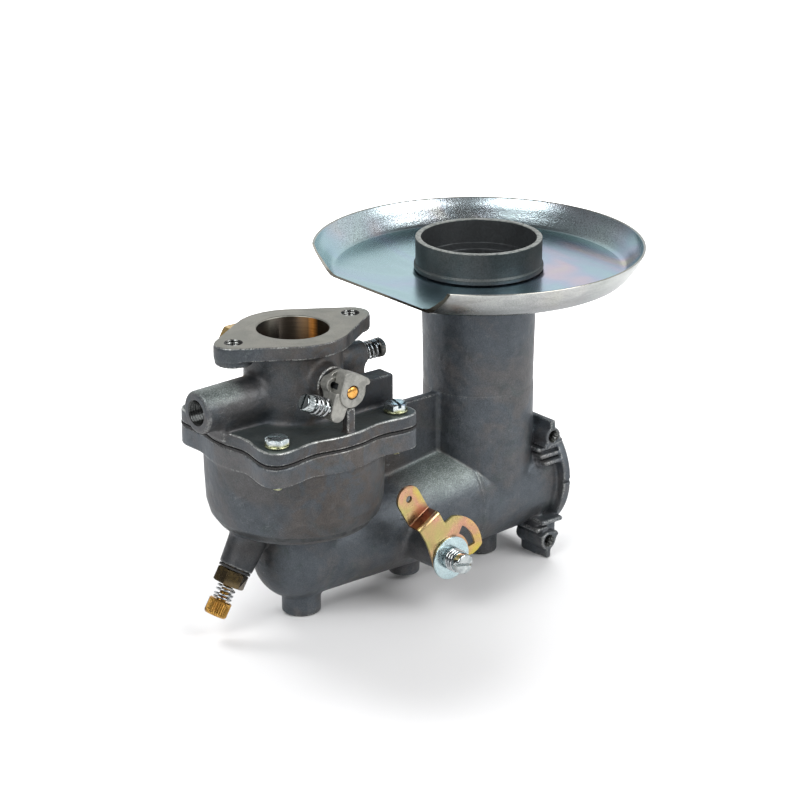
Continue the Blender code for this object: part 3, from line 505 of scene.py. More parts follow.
def mark(made, index, test):
    """Gives material index to every face whose centre, in millimetres, and normal pass the test."""
    count = len(made.data.polygons)
    centre, normal, slots = np.zeros(count * 3), np.zeros(count * 3), np.zeros(count, np.int32)
    made.data.polygons.foreach_get("center", centre)
    made.data.polygons.foreach_get("normal", normal)
    made.data.polygons.foreach_get("material_index", slots)
    slots[test(centre.reshape(-1, 3) / MM, normal.reshape(-1, 3))] = index
    made.data.polygons.foreach_set("material_index", slots)


# ---- materials ------------------------------------------------------------------------------------
def stops_into(ramp, stops):
    """Fill a colour ramp with (position, colour) stops given in rising order."""
    ramp.elements[0].position = stops[0][0]
    ramp.elements[1].position = stops[-1][0]
    for p, _ in stops[1:-1]:
        ramp.elements.new(p)
    for e, (_, c) in zip(ramp.elements, stops):
        e.color = (c, c, c, 1.0) if isinstance(c, (int, float)) else (*c, 1.0)


class Look:
    """A small builder for node materials in rest-frame metres."""

    def __init__(self, name):
        self.mat = bpy.data.materials.new(name)
        self.mat.use_nodes = True
        self.tree = self.mat.node_tree
        self.tree.nodes.clear()
        self.out = self.tree.nodes.new("ShaderNodeOutputMaterial")
        self.bsdf = self.tree.nodes.new("ShaderNodeBsdfPrincipled")
        self.tree.links.new(self.bsdf.outputs[0], self.out.inputs[0])
        self.co = self.tree.nodes.new("ShaderNodeTexCoord").outputs["Object"]
        self._axes = None

    def put(self, socket, value):
        if isinstance(value, bpy.types.NodeSocket):
            self.tree.links.new(value, socket)
        elif isinstance(value, (tuple, list)) and len(value) == 3 and socket.type == "RGBA":
            socket.default_value = (*value, 1.0)
        else:
            socket.default_value = value

    def set(self, **values):
        for key, value in values.items():
            self.put(self.bsdf.inputs[key.replace("_", " ")], value)
        return self

    def math(self, op, a, b=0.0, c=0.0, clamp=False):
        n = self.tree.nodes.new("ShaderNodeMath")
        n.operation, n.use_clamp = op, clamp
        self.put(n.inputs[0], a)
        self.put(n.inputs[1], b)
        self.put(n.inputs[2], c)
        return n.outputs[0]

    def axes(self):
        if self._axes is None:
            n = self.tree.nodes.new("ShaderNodeSeparateXYZ")
            self.put(n.inputs[0], self.co)
            self._axes = n.outputs
        return self._axes

    def stretch(self, sx, sy, sz, turn=(0, 0, 0)):
        n = self.tree.nodes.new("ShaderNodeMapping")
        self.put(n.inputs["Vector"], self.co)
        n.inputs["Rotation"].default_value = turn
        n.inputs["Scale"].default_value = (sx, sy, sz)
        return n.outputs[0]

    def noise(self, scale, detail=2.0, rough=0.5, bend=0.0, vector=None, colour=False):
        n = self.tree.nodes.new("ShaderNodeTexNoise")
        self.put(n.inputs["Vector"], self.co if vector is None else vector)
        n.inputs["Scale"].default_value = scale
        n.inputs["Detail"].default_value = detail
        n.inputs["Roughness"].default_value = rough
        n.inputs["Distortion"].default_value = bend
        return n.outputs["Color" if colour else "Fac"]

    def cells(self, scale, feature="F1", vector=None):
        n = self.tree.nodes.new("ShaderNodeTexVoronoi")
        n.feature = feature
        self.put(n.inputs["Vector"], self.co if vector is None else vector)
        n.inputs["Scale"].default_value = scale
        return n.outputs["Distance"]

    def ramp(self, fac, stops):
        n = self.tree.nodes.new("ShaderNodeValToRGB")
        self.put(n.inputs[0], fac)
        stops_into(n.color_ramp, stops)
        return n.outputs["Color"]

    def span(self, fac, low, high, to_low=0.0, to_high=1.0):
        n = self.tree.nodes.new("ShaderNodeMapRange")
        n.interpolation_type = "SMOOTHSTEP"
        n.clamp = True
        for i, v in enumerate((fac, low, high, to_low, to_high)):
            self.put(n.inputs[i], v)
        return n.outputs[0]

    def mix(self, fac, a, b, kind="MIX"):
        n = self.tree.nodes.new("ShaderNodeMix")
        n.data_type, n.blend_type = "RGBA", kind
        self.put(n.inputs[0], fac)
        self.put(n.inputs[6], a)
        self.put(n.inputs[7], b)
        return n.outputs[2]

    def scaled(self, colour, factor):
        n = self.tree.nodes.new("ShaderNodeVectorMath")
        n.operation = "SCALE"
        self.put(n.inputs[0], colour)
        self.put(n.inputs["Scale"], factor)
        return n.outputs["Vector"]

    def attribute(self, name):
        n = self.tree.nodes.new("ShaderNodeAttribute")
        n.attribute_name = name
        return n.outputs["Fac"]

    def facing(self, blend=0.5):
        n = self.tree.nodes.new("ShaderNodeLayerWeight")
        n.inputs[0].default_value = blend
        return n.outputs["Facing"]

    def normals(self):
        g = self.tree.nodes.new("ShaderNodeNewGeometry")
        n = self.tree.nodes.new("ShaderNodeSeparateXYZ")
        self.put(n.inputs[0], g.outputs["Normal"])
        return n.outputs

    def normal_z(self):
        return self.normals()[2]

    def distance(self, x, y, z):
        """How far the point is from this one, in metres."""
        n = self.tree.nodes.new("ShaderNodeVectorMath")
        n.operation = "DISTANCE"
        self.put(n.inputs[0], self.co)
        n.inputs[1].default_value = (x, y, z)
        return n.outputs["Value"]

    def bump(self, height, strength=0.2, distance=0.0001, under=None):
        n = self.tree.nodes.new("ShaderNodeBump")
        self.put(n.inputs["Height"], height)
        n.inputs["Strength"].default_value = strength
        n.inputs["Distance"].default_value = distance
        if under is not None:
            self.put(n.inputs["Normal"], under)
        return n.outputs[0]


def casting_look(name, cool=(0.078, 0.089, 0.101), warm=(0.092, 0.091, 0.093), gain=1.0, worn=0.85, hot=False, cover=False):
    m = Look(name)
    x, y, z = m.axes()
    cool = tuple(c * gain for c in cool)
    warm = tuple(c * gain for c in warm)
    broad = m.noise(42, 3, 0.55, 0.6)
    mid = m.noise(190, 3, 0.6, 0.4)
    grain = m.noise(2300, 2, 0.6)
    fine = m.noise(900, 3, 0.65)
    tone = m.span(m.math("ADD", m.math("MULTIPLY", broad, 0.75), m.math("MULTIPLY", mid, 0.25)), 0.44, 0.60)
    # the side of the bowl towards the tube is browner than the rest
    across = m.math("SUBTRACT", m.math("MULTIPLY", x, 0.774), m.math("MULTIPLY", y, 0.633))
    brown = m.math("MULTIPLY", m.span(across, -0.012, 0.012), m.math("MULTIPLY", m.span(across, 0.034, 0.050, 1.0, 0.0), m.span(z, 0.036, 0.050)))
    colour = m.mix(tone, cool, warm)
    colour = m.mix(m.math("MULTIPLY", brown, m.span(m.noise(110, 3, 0.6, 1.0), 0.42, 0.60, 0.15, 0.85)), colour, (0.092 * gain, 0.080 * gain, 0.072 * gain))
    colour = m.mix(m.span(m.noise(85, 4, 0.6, 1.2), 0.52, 0.72, 0.0, 0.5), colour, (0.060 * gain, 0.076 * gain, 0.078 * gain))
    colour = m.mix(1.0, colour, m.ramp(grain, [(0.25, 0.72), (0.5, 1.0), (0.75, 1.34)]), "MULTIPLY")
    colour = m.mix(1.0, colour, m.ramp(mid, [(0.3, 0.80), (0.7, 1.22)]), "MULTIPLY")
    if hot:
        # painted light: the passage, tube and flange band are painted paler than the bowl, and painted shade darkens
        # the nozzle boss and the web
        paler_painted_light = m.math("MAXIMUM", m.span(x, 0.036, 0.052), m.span(z, 0.041, 0.030))
        paler_painted_light = m.math("MAXIMUM", paler_painted_light, m.span(z, 0.0705, 0.0725))
        painted_light_gain = m.math("ADD", 0.95, m.math("MULTIPLY", paler_painted_light, 0.24))
        # painted shade on the nozzle boss and on the flat sides of the web
        boss_painted_light = m.math("MULTIPLY", m.span(x, -0.010, -0.017), m.span(z, 0.044, 0.036))
        web_painted_shade = m.math("MULTIPLY", m.span(m.math("ABSOLUTE", y), 0.0052, 0.0032), m.math("MULTIPLY", m.span(x, 0.034, 0.038), m.span(z, 0.040, 0.050)))
        web_painted_shade = m.math("MULTIPLY", web_painted_shade, m.span(m.math("ABSOLUTE", m.normals()[1]), 0.6, 0.9))
        painted_light_gain = m.math("MULTIPLY", painted_light_gain, m.math("SUBTRACT", 1.0, m.math("MULTIPLY", m.math("MAXIMUM", boss_painted_light, web_painted_shade), 0.42)))
        colour = m.scaled(colour, painted_light_gain)
    # light scuffs: thin level lines of a slow noise, kept only in patches
    line = m.math("ABSOLUTE", m.math("SUBTRACT", m.noise(120, 3, 0.55, 1.6), 0.5))
    patch = m.span(m.noise(55, 2, 0.5), 0.54, 0.66)
    scuff = m.math("MULTIPLY", m.span(line, 0.0, 0.006, 1.0, 0.0), m.math("MULTIPLY", patch, 0.42))
    # burnished specks
    speck = m.math("MULTIPLY", m.span(m.cells(760), 0.0, 0.16, 1.0, 0.0), m.span(fine, 0.52, 0.64))
    scuff = m.math("MAXIMUM", scuff, m.math("MULTIPLY", speck, 0.38))
    colour = m.mix(scuff, colour, (0.27, 0.29, 0.29))
    edge = m.span(m.attribute("wear"), 0.42, 1.15)
    edge = m.math("MULTIPLY", edge, m.span(m.noise(1500, 2, 0.7), 0.38, 0.62))
    patchy = m.span(m.noise(140, 2, 0.5), 0.40, 0.58, 0.18, 1.0)
    edge = m.math("MULTIPLY", edge, patchy)
    colour = m.mix(m.math("MULTIPLY", edge, worn), colour, (0.50, 0.51, 0.49))
    if cover:
        # painted light: the level top is painted greener and lighter, the top of the fuel boss carries a painted
        # highlight, and the face of the raised block is painted dark as shade
        level_top_painted_light = m.span(m.normal_z(), 0.75, 0.95)
        level_top_painted_light = m.math("MULTIPLY", level_top_painted_light, m.span(z, (COVER_TOP + 1.5) * MM, (COVER_TOP + 3.0) * MM, 1.0, 0.0))
        colour = m.mix(m.math("MULTIPLY", level_top_painted_light, 0.55), colour, (0.088, 0.112, 0.110))
        # a painted highlight on the top of the fuel boss, mottled with sparkle
        boss_painted_light = m.math("MULTIPLY", m.span(m.normal_z(), 0.25, 0.85), m.span(m.distance(-0.038, -0.001, 0.0985), 0.004, 0.0155, 1.0, 0.0))
        boss_painted_light = m.math("MULTIPLY", boss_painted_light, m.span(x, -0.024, -0.031))
        highlight_sparkle = m.span(grain, 0.40, 0.66)
        colour = m.mix(m.math("MULTIPLY", boss_painted_light, 0.8), colour, m.mix(highlight_sparkle, (0.15, 0.18, 0.175), (0.40, 0.45, 0.43)))
        # painted shade on the front face of the raised block
        block_painted_shade = m.math("MULTIPLY", m.span(m.normals()[1], -0.45, -0.85), m.math("MULTIPLY", m.span(x, 0.009, 0.013), m.span(y, -0.0180, -0.0192)))
        block_painted_shade = m.math("MULTIPLY", block_painted_shade, m.math("MULTIPLY", m.span(y, -0.0222, -0.0212), m.span(z, (COVER_TOP + 1.0) * MM, (COVER_TOP + 2.5) * MM)))
        colour = m.mix(m.math("MULTIPLY", block_painted_shade, 0.82), colour, (0.016, 0.018, 0.022))
        brim = m.span(m.math("ABSOLUTE", m.math("SUBTRACT", z, (COVER_TOP - 0.12) * MM)), 0.0001, 0.00042, 1.0, 0.0)
        brim = m.math("MULTIPLY", brim, m.span(m.attribute("wear"), 0.20, 0.75))
        brim = m.math("MULTIPLY", brim, m.math("MULTIPLY", m.span(m.noise(160, 2, 0.6), 0.38, 0.56, 0.25, 1.0), m.span(m.noise(1300, 2, 0.7), 0.38, 0.56, 0.3, 1.0)))
        colour = m.mix(m.math("MULTIPLY", brim, 0.85), colour, (0.56, 0.58, 0.56))
    if hot:
        # a painted highlight on the top of the sloping passage, and the pale line where it meets the tube
        # the painted highlight fades out from a point on the passage top
        top = m.math("MULTIPLY", m.span(m.normal_z(), 0.30, 0.85), m.span(m.distance(0.067, -0.012, 0.047), 0.006, 0.030, 1.0, 0.0))
        top = m.math("MULTIPLY", top, m.span(z, 0.056, 0.060, 1.0, 0.0))
        highlight_sparkle = m.span(grain, 0.40, 0.66)
        colour = m.mix(m.math("MULTIPLY", top, 0.9), colour, m.mix(highlight_sparkle, (0.165, 0.195, 0.185), (0.36, 0.41, 0.385)))
        crease = m.math("MULTIPLY", m.span(m.attribute("wear"), -0.30, -0.85), m.math("MULTIPLY", m.span(x, 0.062, 0.070), m.span(z, 0.030, 0.040)))
        crease = m.math("MULTIPLY", crease, m.span(x, 0.096, 0.084))
        colour = m.mix(m.math("MULTIPLY", crease, 0.5), colour, (0.24, 0.25, 0.24))
    rough = m.math("ADD", m.span(mid, 0.3, 0.7, 0.42, 0.56), m.math("MULTIPLY", m.math("SUBTRACT", grain, 0.5), 0.25))
    rough = m.math("SUBTRACT", rough, m.math("MULTIPLY", edge, 0.18))
    height = m.math("ADD", m.math("MULTIPLY", grain, 0.45), m.math("MULTIPLY", fine, 0.8))
    lumps = m.math("ADD", m.math("MULTIPLY", m.noise(260, 2, 0.55, 0.3), 1.0), m.math("MULTIPLY", m.noise(110, 2, 0.5, 0.4), 1.2))
    under = m.bump(lumps, 0.40, 0.00075)
    m.set(Base_Color=colour, Metallic=0.62, Roughness=rough, Normal=m.bump(height, 0.45, 0.00017, under))
    return m.mat


def machined_look(name):
    m = Look(name)
    lines = m.noise(380, 3, 0.6, 0.0, m.stretch(1.0, 9.0, 1.0, (0, 0, 0.5)))
    blot = m.noise(95, 3, 0.55, 0.5)
    grain = m.noise(2600, 2, 0.6)
    colour = m.mix(m.span(blot, 0.36, 0.66), (0.236, 0.238, 0.212), (0.292, 0.286, 0.254))
    colour = m.mix(1.0, colour, m.ramp(lines, [(0.3, 0.86), (0.7, 1.14)]), "MULTIPLY")
    colour = m.mix(1.0, colour, m.ramp(grain, [(0.3, 0.9), (0.7, 1.12)]), "MULTIPLY")
    pits = m.math("MULTIPLY", m.span(m.cells(420), 0.0, 0.09, 1.0, 0.0), m.span(grain, 0.5, 0.62))
    colour = m.mix(m.math("MULTIPLY", pits, 0.5), colour, (0.08, 0.08, 0.07))
    m.set(Base_Color=colour, Metallic=0.8, Roughness=m.span(lines, 0.3, 0.7, 0.36, 0.5), Normal=m.bump(m.math("ADD", lines, m.math("MULTIPLY", grain, 0.5)), 0.16, 0.00006))
    return m.mat


def bore_look(name):
    """The machined throat: dark brown, with a painted amber reflection at one side and a faint painted highlight at
    another.
    """
    m = Look(name)
    x, y, z = m.axes()
    angle = m.math("ARCTAN2", y, x)
    rings = m.noise(900, 2, 0.5, 0.0, m.stretch(0.15, 0.15, 5.0))
    # painted light by angle round the bore: an amber reflection and a faint pale highlight on the dark brown
    colour = m.ramp(
        m.math("ADD", m.math("DIVIDE", angle, 2 * math.pi), 0.5),
        [
            (0.00, (0.020, 0.017, 0.014)),
            (0.38, (0.020, 0.017, 0.013)),
            (0.525, (0.030, 0.020, 0.010)),
            (0.553, (0.50, 0.20, 0.040)),
            (0.578, (0.085, 0.046, 0.018)),
            (0.64, (0.042, 0.031, 0.021)),
            (0.72, (0.026, 0.022, 0.018)),
            (0.76, (0.060, 0.056, 0.046)),
            (0.80, (0.020, 0.018, 0.015)),
            (1.00, (0.020, 0.017, 0.014)),
        ],
    )
    colour = m.mix(1.0, colour, m.ramp(rings, [(0.3, 0.75), (0.7, 1.25)]), "MULTIPLY")
    m.set(Base_Color=colour, Metallic=0.85, Roughness=0.33, Normal=m.bump(rings, 0.1, 0.00004))
    return m.mat


def tapped_look(name):
    m = Look(name)
    grain = m.noise(1800, 2, 0.6)
    x, y, z = m.axes()
    # the threads of the fuel bore are painted darker as shade, the other holes keep the lighter metal
    painted_shade_mix = m.span(x, -0.0318, -0.0312, 0.12, 1.0)
    glint = m.mix(painted_shade_mix, (0.055, 0.058, 0.058), (0.235, 0.240, 0.232))
    colour = m.mix(m.span(grain, 0.35, 0.65), (0.026, 0.028, 0.028), glint)
    m.set(Base_Color=colour, Metallic=0.9, Roughness=0.22, Normal=m.bump(grain, 0.12, 0.00005))
    return m.mat


def plate_look(name):
    """Blue zinc plate with faint interference colours, for the pan."""
    m = Look(name)
    x, y, z = m.axes()
    slow = m.noise(17, 3, 0.55, 1.5, m.stretch(1.0, 0.45, 1.0, (0, 0, 0.7)))
    slow2 = m.noise(30, 2, 0.5, 2.2, m.stretch(0.5, 1.0, 1.0, (0, 0, 0.35)))
    # the film is thicker towards +X, and beside the collar
    bias = m.span(m.math("SUBTRACT", m.math("MULTIPLY", x, 0.774), m.math("MULTIPLY", y, 0.633)), 0.078, 0.112, 0.0, 0.085)
    film = m.math("ADD", m.math("ADD", m.math("MULTIPLY", slow, 0.95), bias), m.math("SUBTRACT", m.math("MULTIPLY", m.math("SUBTRACT", 1.0, m.facing(0.35)), 0.22), 0.085))
    colour = m.ramp(
        film,
        [
            (0.34, (0.36, 0.56, 0.60)),
            (0.43, (0.41, 0.61, 0.66)),
            (0.50, (0.40, 0.56, 0.68)),
            (0.56, (0.46, 0.53, 0.69)),
            (0.61, (0.60, 0.54, 0.64)),
            (0.66, (0.70, 0.66, 0.50)),
            (0.71, (0.46, 0.66, 0.56)),
            (0.80, (0.37, 0.57, 0.62)),
        ],
    )
    colour = m.mix(m.span(slow2, 0.44, 0.66, 0.0, 0.5), colour, (0.40, 0.58, 0.65))
    grain = m.noise(1900, 3, 0.7)
    peel = m.noise(900, 2, 0.6)
    # the drawn wall of the pan is coarser than the floor
    radius = m.math("SQRT", m.math("ADD", m.math("POWER", m.math("SUBTRACT", x, TUBE_X * MM), 2.0), m.math("POWER", y, 2.0)))
    far = m.math("ADD", m.math("MULTIPLY", m.math("SUBTRACT", x, TUBE_X * MM), 0.633), m.math("MULTIPLY", y, 0.774))
    wall = m.math("MULTIPLY", m.span(radius, 0.0565, 0.0600), m.span(far, 0.012, 0.034))
    colour = m.mix(m.math("MULTIPLY", wall, 0.6), colour, (0.56, 0.62, 0.61))
    colour = m.mix(1.0, colour, m.mix(wall, (1, 1, 1), m.ramp(grain, [(0.36, 0.55), (0.5, 1.0), (0.64, 1.2)])), "MULTIPLY")
    # the outside of the wall is plain silver, and the sheared edges are dull
    nrm = m.normals()
    outward = m.math("ADD", m.math("MULTIPLY", nrm[0], m.math("SUBTRACT", x, TUBE_X * MM)), m.math("MULTIPLY", nrm[1], y))
    outer = m.span(m.math("DIVIDE", outward, 0.065), 0.10, 0.45)
    # the outside of the wall is painted darker towards the bottom as shade
    low = m.span(z, (PAN_LOW + 2.0) * MM, (PAN_RIM_Z - 2.0) * MM, 0.30, 1.0)
    silver = m.mix(m.span(m.noise(60, 3, 0.6, 0.8, m.stretch(1.0, 1.0, 3.0)), 0.40, 0.60), (0.42, 0.425, 0.40), (0.54, 0.545, 0.52))
    silver = m.mix(low, (0.22, 0.225, 0.22), silver)
    silver = m.mix(1.0, silver, m.ramp(m.noise(1900, 3, 0.7), [(0.36, 0.80), (0.5, 1.0), (0.64, 1.12)]), "MULTIPLY")
    colour = m.mix(m.math("MULTIPLY", outer, 0.92), colour, silver)
    brink = m.math("MULTIPLY", m.span(z, (PAN_RIM_Z - 0.35) * MM, (PAN_RIM_Z - 0.12) * MM), 0.85)
    chord = m.math("MULTIPLY", m.span(nrm[0], -0.55, -0.85), m.span(x, (TUBE_X - PAN_CHORD + 0.6) * MM, (TUBE_X - PAN_CHORD + 0.25) * MM))
    sheared = m.math("MAXIMUM", brink, chord)
    colour = m.mix(m.math("MULTIPLY", sheared, 0.92), colour, m.mix(m.span(z, (PAN_LOW + 1.5) * MM, (PAN_LOW + 3.5) * MM), (0.105, 0.095, 0.075), (0.34, 0.33, 0.29)))
    scratch = m.math("ABSOLUTE", m.math("SUBTRACT", m.noise(36, 2, 0.5, 0.8, m.stretch(1.0, 5.0, 1.0, (0, 0, 0.95))), 0.5))
    scratch = m.math("MULTIPLY", m.span(scratch, 0.0, 0.004, 1.0, 0.0), m.span(m.noise(40, 2), 0.55, 0.65))
    colour = m.mix(m.math("MULTIPLY", scratch, 0.25), colour, (0.62, 0.68, 0.68))
    rough = m.math("ADD", m.math("ADD", 0.17, m.math("MULTIPLY", wall, 0.03)), m.math("MULTIPLY", peel, 0.10))
    height = m.math("ADD", m.math("MULTIPLY", grain, 1.0), m.math("MULTIPLY", peel, 1.2))
    n = m.tree.nodes.new("ShaderNodeBump")
    m.put(n.inputs["Height"], height)
    m.put(n.inputs["Strength"], m.math("ADD", 0.03, m.math("MULTIPLY", wall, 0.40)))
    n.inputs["Distance"].default_value = 0.00010
    m.set(Base_Color=colour, Metallic=1.0, Roughness=rough, Normal=n.outputs[0])
    return m.mat


def steel_look(name, light, dark, rough=0.28, metal=1.0, grain_scale=1400, bump=0.08, tint=None):
    """Plated or bare metal: two tones in soft patches and fine grain."""
    m = Look(name)
    slow = m.noise(210, 3, 0.6, 0.8)
    grain = m.noise(grain_scale, 2, 0.65)
    colour = m.mix(m.span(slow, 0.38, 0.62), light, dark)
    if tint is not None:
        colour = m.mix(m.span(m.noise(330, 2, 0.5, 1.0), 0.50, 0.66, 0.0, 0.75), colour, tint)
    colour = m.mix(1.0, colour, m.ramp(grain, [(0.3, 0.86), (0.7, 1.12)]), "MULTIPLY")
    r = m.math("ADD", m.span(slow, 0.3, 0.7, rough * 0.8, rough * 1.25), m.math("MULTIPLY", m.math("SUBTRACT", grain, 0.5), 0.12))
    m.set(Base_Color=colour, Metallic=metal, Roughness=r, Normal=m.bump(m.math("ADD", grain, m.math("MULTIPLY", slow, 0.6)), bump, 0.00006))
    return m.mat


def cover_screw_look(name):
    """Bright zinc with a yellow-green tint gathered round the base of the head."""
    m = Look(name)
    z = m.axes()[2]
    slow = m.noise(420, 3, 0.6, 0.6)
    colour = m.mix(m.span(slow, 0.40, 0.60), (0.70, 0.75, 0.76), (0.48, 0.56, 0.58))
    low = m.span(m.math("ADD", z, m.math("MULTIPLY", m.math("SUBTRACT", slow, 0.5), 0.0018)), (COVER_TOP + 1.0) * MM, (COVER_TOP + 2.2) * MM, 1.0, 0.0)
    colour = m.mix(m.math("MULTIPLY", low, 0.75), colour, (0.50, 0.50, 0.22))
    grain = m.noise(1700, 2, 0.6)
    colour = m.mix(1.0, colour, m.ramp(grain, [(0.3, 0.82), (0.7, 1.1)]), "MULTIPLY")
    m.set(Base_Color=colour, Metallic=1.0, Roughness=m.span(slow, 0.3, 0.7, 0.2, 0.36), Normal=m.bump(grain, 0.12, 0.00006))
    return m.mat


ARM_ANGLE = math.radians(120.3)
ARM_U = Vector((math.cos(ARM_ANGLE), math.sin(ARM_ANGLE)))
ARM_V = Vector((-ARM_U.y, ARM_U.x))


def chromate_look(name):
    """Yellow chromate over zinc: gold drifting to pink and green, and brown on the bend's face."""
    m = Look(name)
    x, y, z = m.axes()
    reach = m.math("ADD", m.math("MULTIPLY", m.math("SUBTRACT", x, CHOKE_X * MM), ARM_U.x), m.math("MULTIPLY", m.math("SUBTRACT", z, CHOKE_Z * MM), ARM_U.y))
    side = m.math("ADD", m.math("MULTIPLY", m.math("SUBTRACT", x, CHOKE_X * MM), ARM_V.x), m.math("MULTIPLY", m.math("SUBTRACT", z, CHOKE_Z * MM), ARM_V.y))
    slow = m.noise(120, 3, 0.6, 1.2)
    calm = m.math("ADD", m.math("MULTIPLY", m.noise(70, 2, 0.5, 0.5), 0.8), m.math("MULTIPLY", m.math("SUBTRACT", slow, 0.5), 0.22))
    drift = m.math("ADD", m.math("ADD", calm, 0.09), m.math("MULTIPLY", m.math("MINIMUM", m.math("MAXIMUM", side, -0.006), 0.006), 12.0))
    colour = m.ramp(
        drift,
        [
            (0.26, (0.62, 0.50, 0.10)),
            (0.38, (0.60, 0.39, 0.17)),
            (0.47, (0.60, 0.32, 0.22)),
            (0.56, (0.56, 0.38, 0.19)),
            (0.66, (0.50, 0.42, 0.17)),
            (0.78, (0.58, 0.47, 0.19)),
        ],
    )
    edge_green = m.span(m.math("ABSOLUTE", side), 0.0036, 0.0056)
    on_arm = m.span(reach, 0.008, 0.012)
    colour = m.mix(m.math("MULTIPLY", edge_green, m.math("MULTIPLY", on_arm, 0.5)), colour, (0.50, 0.49, 0.17))
    tilt = m.span(m.math("ABSOLUTE", m.normals()[1]), 0.45, 0.80, 1.0, 0.0)
    jog = m.math("MULTIPLY", m.math("MULTIPLY", tilt, m.span(y, -0.03735, -0.03690)), m.math("MULTIPLY", m.span(reach, 0.0170, 0.0180), m.span(reach, 0.0212, 0.0222, 1.0, 0.0)))
    colour = m.mix(m.math("MULTIPLY", jog, 0.93), colour, m.mix(m.span(slow, 0.4, 0.6), (0.115, 0.036, 0.026), (0.175, 0.060, 0.040)))
    shade_in = m.math("MULTIPLY", m.span(reach, 0.0205, 0.0262, 1.0, 0.0), m.math("MULTIPLY", m.span(reach, 0.0190, 0.0200), m.span(y, -0.0332, -0.0328)))
    colour = m.mix(m.math("MULTIPLY", shade_in, 0.72), colour, (0.20, 0.075, 0.05))
    grain = m.noise(1500, 2, 0.6)
    colour = m.mix(1.0, colour, m.ramp(grain, [(0.3, 0.90), (0.7, 1.08)]), "MULTIPLY")
    m.set(Base_Color=colour, Metallic=0.92, Roughness=m.span(slow, 0.3, 0.7, 0.24, 0.36), Normal=m.bump(grain, 0.07, 0.00005))
    return m.mat


def fibre_look(name):
    m = Look(name)
    grain = m.noise(1500, 3, 0.7)
    colour = m.mix(m.span(grain, 0.35, 0.65), (0.012, 0.012, 0.013), (0.035, 0.034, 0.033))
    m.set(Base_Color=colour, Metallic=0.0, Roughness=0.82, Normal=m.bump(grain, 0.3, 0.0001))
    return m.mat


def collar_look(name):
    m = Look(name)
    x, y, z = m.axes()
    slow = m.noise(70, 3, 0.55, 0.5)
    grain = m.noise(1600, 2, 0.65)
    colour = m.mix(m.span(slow, 0.38, 0.62), (0.052, 0.066, 0.068), (0.072, 0.080, 0.080))
    colour = m.mix(1.0, colour, m.ramp(grain, [(0.3, 0.78), (0.7, 1.22)]), "MULTIPLY")
    rim_top = m.span(z, (COLLAR_TOP - 0.35) * MM, (COLLAR_TOP - 0.05) * MM)
    rim_top = m.math("MULTIPLY", rim_top, m.span(m.noise(700, 2, 0.6), 0.36, 0.58, 0.35, 1.0))
    colour = m.mix(m.math("MULTIPLY", rim_top, 0.8), colour, (0.36, 0.38, 0.36))
    bead = m.math("MULTIPLY", m.span(m.math("ABSOLUTE", m.math("SUBTRACT", z, 0.12595)), 0.0001, 0.0003, 1.0, 0.0), m.span(m.noise(260, 2), 0.5, 0.6))
    colour = m.mix(m.math("MULTIPLY", bead, 0.25), colour, (0.26, 0.29, 0.28))
    m.set(Base_Color=colour, Metallic=0.62, Roughness=m.span(slow, 0.3, 0.7, 0.38, 0.5), Normal=m.bump(m.math("ADD", grain, slow), 0.14, 0.00007))
    return m.mat


CAST = casting_look("cast_skin", gain=0.92, worn=0.5, hot=True)
CAST_TOP = casting_look("cast_skin_cover", gain=0.86, worn=0.9, cover=True)
MACHINED = machined_look("machined_face")
BORE = bore_look("throat_wall")
TAPPED = tapped_look("tapped_hole")
# a dark finish given to the insides of the castings, the collar's bore and the lever's pin hole: painted shade
PAINTED_SHADE_INSIDE = steel_look("inner_wall_painted_shade", (0.05, 0.055, 0.058), (0.035, 0.038, 0.040), 0.5, 0.6)
PLATE = plate_look("blue_zinc")
COLLAR = collar_look("phosphated_steel")
ZINC = steel_look("bright_zinc", (0.60, 0.64, 0.64), (0.36, 0.40, 0.41), 0.12)
WASHER = steel_look("washer_zinc", (0.56, 0.69, 0.71), (0.50, 0.63, 0.66), 0.22, bump=0.02)
SCREW = cover_screw_look("cover_screw_zinc")
SPRING = steel_look("spring_wire", (0.62, 0.64, 0.65), (0.36, 0.37, 0.38), 0.13)
GOLD = chromate_look("yellow_chromate")
BRASS = steel_look("turned_brass", (0.56, 0.32, 0.085), (0.40, 0.215, 0.050), 0.26, bump=0.06)
COPPER = steel_look("shaft_end", (0.86, 0.46, 0.13), (0.70, 0.33, 0.07), 0.24)
NUT = steel_look("aged_brass", (0.150, 0.112, 0.062), (0.098, 0.074, 0.044), 0.24, tint=(0.20, 0.145, 0.065))
LEVER = steel_look("lever_alloy", (0.36, 0.355, 0.325), (0.27, 0.27, 0.25), 0.44, 0.75, 1100, 0.22)
DARK_STEEL = steel_look("dark_steel", (0.17, 0.165, 0.155), (0.09, 0.09, 0.085), 0.32)
FIBRE = fibre_look("gasket_fibre")
PALE_BRASS = steel_look("pale_brass", (0.82, 0.60, 0.27), (0.70, 0.48, 0.18), 0.30, bump=0.06)


# ---- outlines shared by the castings -------------------------------------------------------------
def bowl_outline(radius, lug, steps=240):
    points = []
    for i in range(steps):
        angle = 2 * math.pi * i / steps
        reach = radius
        for x, y in SCREW_XY:
            centre = math.atan2(y, x)
            off = math.atan2(math.sin(angle - centre), math.cos(angle - centre))
            swell = math.hypot(x, y) + lug - radius
            reach = max(reach, radius + swell * math.exp(-((off / math.radians(14.0)) ** 2)))
        points.append((reach * math.cos(angle), reach * math.sin(angle)))
    return points


def rhombic_outline(centre_r, end_r, half, seg=24):
    lean = math.acos((centre_r - end_r) / half)
    points = []

    def arc(x, radius, first, last):
        for i in range(seg + 1):
            angle = first + (last - first) * i / seg
            points.append((x + radius * math.cos(angle), radius * math.sin(angle)))

    arc(half, end_r, -lean, lean)
    arc(0.0, centre_r, lean, math.pi - lean)
    arc(-half, end_r, math.pi - lean, math.pi + lean)
    arc(0.0, centre_r, math.pi + lean, 2 * math.pi - lean)
    return points


